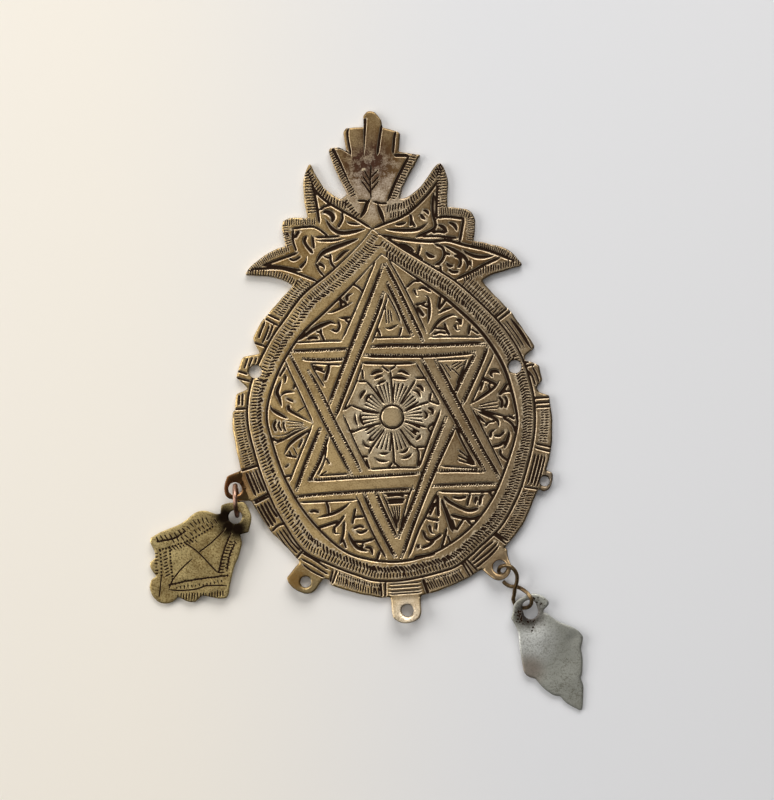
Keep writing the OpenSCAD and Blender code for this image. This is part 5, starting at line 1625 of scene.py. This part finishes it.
def plate_bare(tree):
    """Yellowish silver that turns greyer to the right, painted lighter at the left and darker at the
    right as painted light and shade, with bright petals round the boss.
    """
    base = mixed(tree, ramp(tree, "X", *SIDES_TONE_AND_LIGHT), srgb(188, 161, 112), srgb(150, 131, 103))
    boss = times(tree, near(tree, BOSS, 6), 0.85)
    petals = math_node(tree, "SUBTRACT", near(tree, BOSS, 13), boss)
    petals = times(tree, petals, ramp(tree, "Z", *FACE))
    return spotted(tree, mixed(tree, petals, base, srgb(204, 190, 164)), BARE_SPOTS)


def plate_tarnish(tree):
    """Old gold at the left and grey brown at the right, painted a little darker there as painted shade.
    """
    base = mixed(tree, ramp(tree, "X", *SIDES_TONE_AND_LIGHT), srgb(124, 94, 50), srgb(106, 82, 54))
    return spotted(tree, base, TARNISH_SPOTS)


def plate_tarnished(tree):
    """The table of spots, and dark blots on the palm."""
    blots = smooth_step(tree, noise(tree, here(tree), 800, 4, 0.7), 0.42, 0.64)
    palm = folded(tree, "MAXIMUM", [near(tree, (-3.2, 48.4), 4.4), near(tree, (1.8, 49), 4.8)])
    palm = times(tree, palm, ramp(tree, "Z", *FACE))
    spots = [(near(tree, place, reach), amount) for place, reach, amount in TARNISHED_SPOTS]
    return total(tree, (times(tree, palm, blots), 1.15), *spots)


silver = old_metal("engraved silver", plate_bare, plate_tarnish, plate_tarnished)

# %% [markdown]
# The ring is dull copper, painted darker where it passes into the drop's eye as painted
# shade, and the link is brown brass. The left drop is painted dark round its eye as painted
# shade, and the right one is grey, with a painted highlight on its upper left, crease lines
# of dirt and painted shade, and dark round its torn eye. They share the silver's recipe and
# differ in their numbers only.

# %% The other four metals
# Painted shade beside the left drop's eye: each patch's place and reach.
EYE_PAINTED_SHADE = [((-32.9, -16.4), 4), ((-32.3, -18.4), 3.4), ((-30.6, -18.9), 3.6)]
# Painted shade on the ring where it passes into the drop's eye: place, reach and colour.
RING_PAINTED_SHADE = [((-30.4, -16.2), 3.4, srgb(84, 56, 42))]
# The grey drop's spots, each a place, reach and colour. The first, near white on its upper left, is a
# painted highlight; the other two are darker tones lower down and near the eye.
GREY_TONES_AND_SHEEN = [
    ((24, -44), 6, srgb(240, 240, 234)), ((22.6, -49.6), 4.2, srgb(174, 162, 150)),
    ((23.4, -39), 4, srgb(136, 128, 126)),
]
GREY_DARK = [((23.2, -38.6), 4, srgb(46, 38, 34))]


def with_eye_shade(tree, clean, dirty):
    """A colour of the left drop, with a darker one beside its eye as painted shade."""
    soot = folded(tree, "MAXIMUM", [near(tree, *patch) for patch in EYE_PAINTED_SHADE])
    return mixed(tree, soot, clean, dirty)


def crease_dirt_and_shade(tree):
    """Thin lines of the crumpled grey drop, where a noise crosses its middle value, with a
    broader noise that lets them fade in and out. They darken the tarnish along the crease
    lines, partly as dirt there and partly as painted shade of folds that the mesh lacks."""
    away = math_node(tree, "SUBTRACT", noise(tree, here(tree), 420, 4, 0.62), 0.5)
    off_line = smooth_step(tree, math_node(tree, "ABSOLUTE", away), 0, 0.022)
    shown = smooth_step(tree, noise(tree, here(tree), 160, 2, 0.5), 0.4, 0.62)
    return times(tree, math_node(tree, "SUBTRACT", 1, off_line), shown)


def grey_tarnished(tree):
    """Dark round the eye, and along the crease lines, which are partly dirt and partly painted shade of
    folds.
    """
    return total(tree, (near(tree, (22.8, -39), 4), 1.1), (crease_dirt_and_shade(tree), 0.9))


copper = old_metal(
    "dull copper", lambda tree: spotted(tree, srgb(196, 156, 134), RING_PAINTED_SHADE),
    srgb(104, 72, 58), 0.3, worked=False)
brass = old_metal("brown brass", srgb(170, 148, 112), srgb(82, 60, 36), 0.5, worked=False)
# The left drop's colours turn near black beside its eye: painted shade.
yellow = old_metal(
    "yellowed silver", lambda tree: with_eye_shade(tree, srgb(210, 188, 132), srgb(32, 22, 14)),
    lambda tree: with_eye_shade(tree, srgb(112, 88, 48), srgb(26, 18, 12)), 0.3,
    dents=1.6, grain=0.9, dull=0.2, wall=srgb(186, 164, 116))
grey = old_metal(
    "worn grey silver", lambda tree: spotted(tree, srgb(186, 186, 176), GREY_TONES_AND_SHEEN),
    lambda tree: spotted(tree, srgb(142, 140, 128), GREY_DARK), grey_tarnished,
    dents=2.4, dull=0.28, wall=srgb(140, 136, 128))

# %% Metals onto the pieces
for piece, material, cad_node, slot_name in (
        (plate, silver, "plate", "engraved_silver"),
        (ring, copper, "ring_left", "copper_wire"),
        (link, brass, "link_right", "brass_wire"),
        (drop_left, yellow, "drop_left", "yellowed_silver"),
        (drop_right, grey, "drop_right", "worn_silver")):
    piece.data.materials.append(material)
    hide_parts(cad_node)
    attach(piece, "root")
    print(piece.name, "is", material.name)

# %% [markdown]
# The table is a plain pale sheet, its colour painted brighter and warmer towards the left as
# painted light. It is matt, so it only has to carry the pendant's soft shadow.

# %% The table
FLOOR_HALF, FLOOR_DROP = 1000, 0.05
corners = [(x * FLOOR_HALF, y * FLOOR_HALF, -FLOOR_DROP)
           for x, y in ((-1, -1), (1, -1), (1, 1), (-1, 1))]
floor = new_piece("table_top", corners, [(0, 1, 2, 3)])
paper = bpy.data.materials.new("pale table with painted light")
paper.use_nodes = True
tree = paper.node_tree
# Painted light: the table's colour is brighter and warmer at the left than at the right.
pale = mixed(tree, ramp(tree, "X", -60, 30), srgb(249, 242, 230), srgb(233, 233, 235))
paper_shader = tree.nodes["Principled BSDF"].inputs
paper_shader["Roughness"].default_value = 0.9
tree.links.new(pale, paper_shader["Base Color"])
floor.data.materials.append(paper)

# %% [markdown]
# Engraving shows by the light that its walls send to the eye. A broad window low behind
# the top of the pendant lights every wall that faces it, and a second one at the left does
# so for the walls that run upright. A weaker panel overhead lights the flats, and a dim
# room keeps the walls that face away dark. A bright sky all round would light both walls of
# a cut alike and hide it.

# %% Light and camera
def panel(name, place, size, power, colour):
    """A rectangular light that looks at the middle of the pendant."""
    lamp = bpy.data.lights.new(name, "AREA")
    lamp.shape = "RECTANGLE"
    lamp.size, lamp.size_y = size
    lamp.energy = power
    lamp.color = colour
    held = bpy.data.objects.new(name, lamp)
    held.location = place
    held.rotation_euler = (-Vector(place)).to_track_quat("-Z", "Y").to_euler()
    bpy.context.scene.collection.objects.link(held)


panel("window", (0.15, 1.0, 0.7), (1.1, 0.7), 12.6, (1, 0.995, 0.985))
panel("left window", (-1.02, 0.22, 0.64), (1.1, 0.7), 10.2, (1, 0.99, 0.97))
panel("ceiling", (-0.05, -0.02, 0.8), (0.6, 0.6), 1.0, (1, 0.995, 0.985))
world = bpy.data.worlds.new("dim room")
world.use_nodes = True
room = world.node_tree.nodes["Background"].inputs
room["Color"].default_value = (0.98, 0.99, 1, 1)
room["Strength"].default_value = 0.045
bpy.context.scene.world = world
bpy.context.scene.view_settings.view_transform = "Standard"

# The photo was taken from far off and straight above, with the pendant turned a little.
CAMERA_OVER = (-0.709, 3.478)
CAMERA_HEIGHT = 423
TURN = -4
lens = bpy.data.cameras.new("photo camera")
lens.lens = 100
lens.sensor_width = 36
camera = bpy.data.objects.new("photo camera", lens)
camera.location = (CAMERA_OVER[0] * MM, CAMERA_OVER[1] * MM, CAMERA_HEIGHT * MM)
camera.rotation_euler = (0, 0, math.radians(TURN))
bpy.context.scene.collection.objects.link(camera)
bpy.context.scene.camera = camera
print("camera height, mm:", CAMERA_HEIGHT)
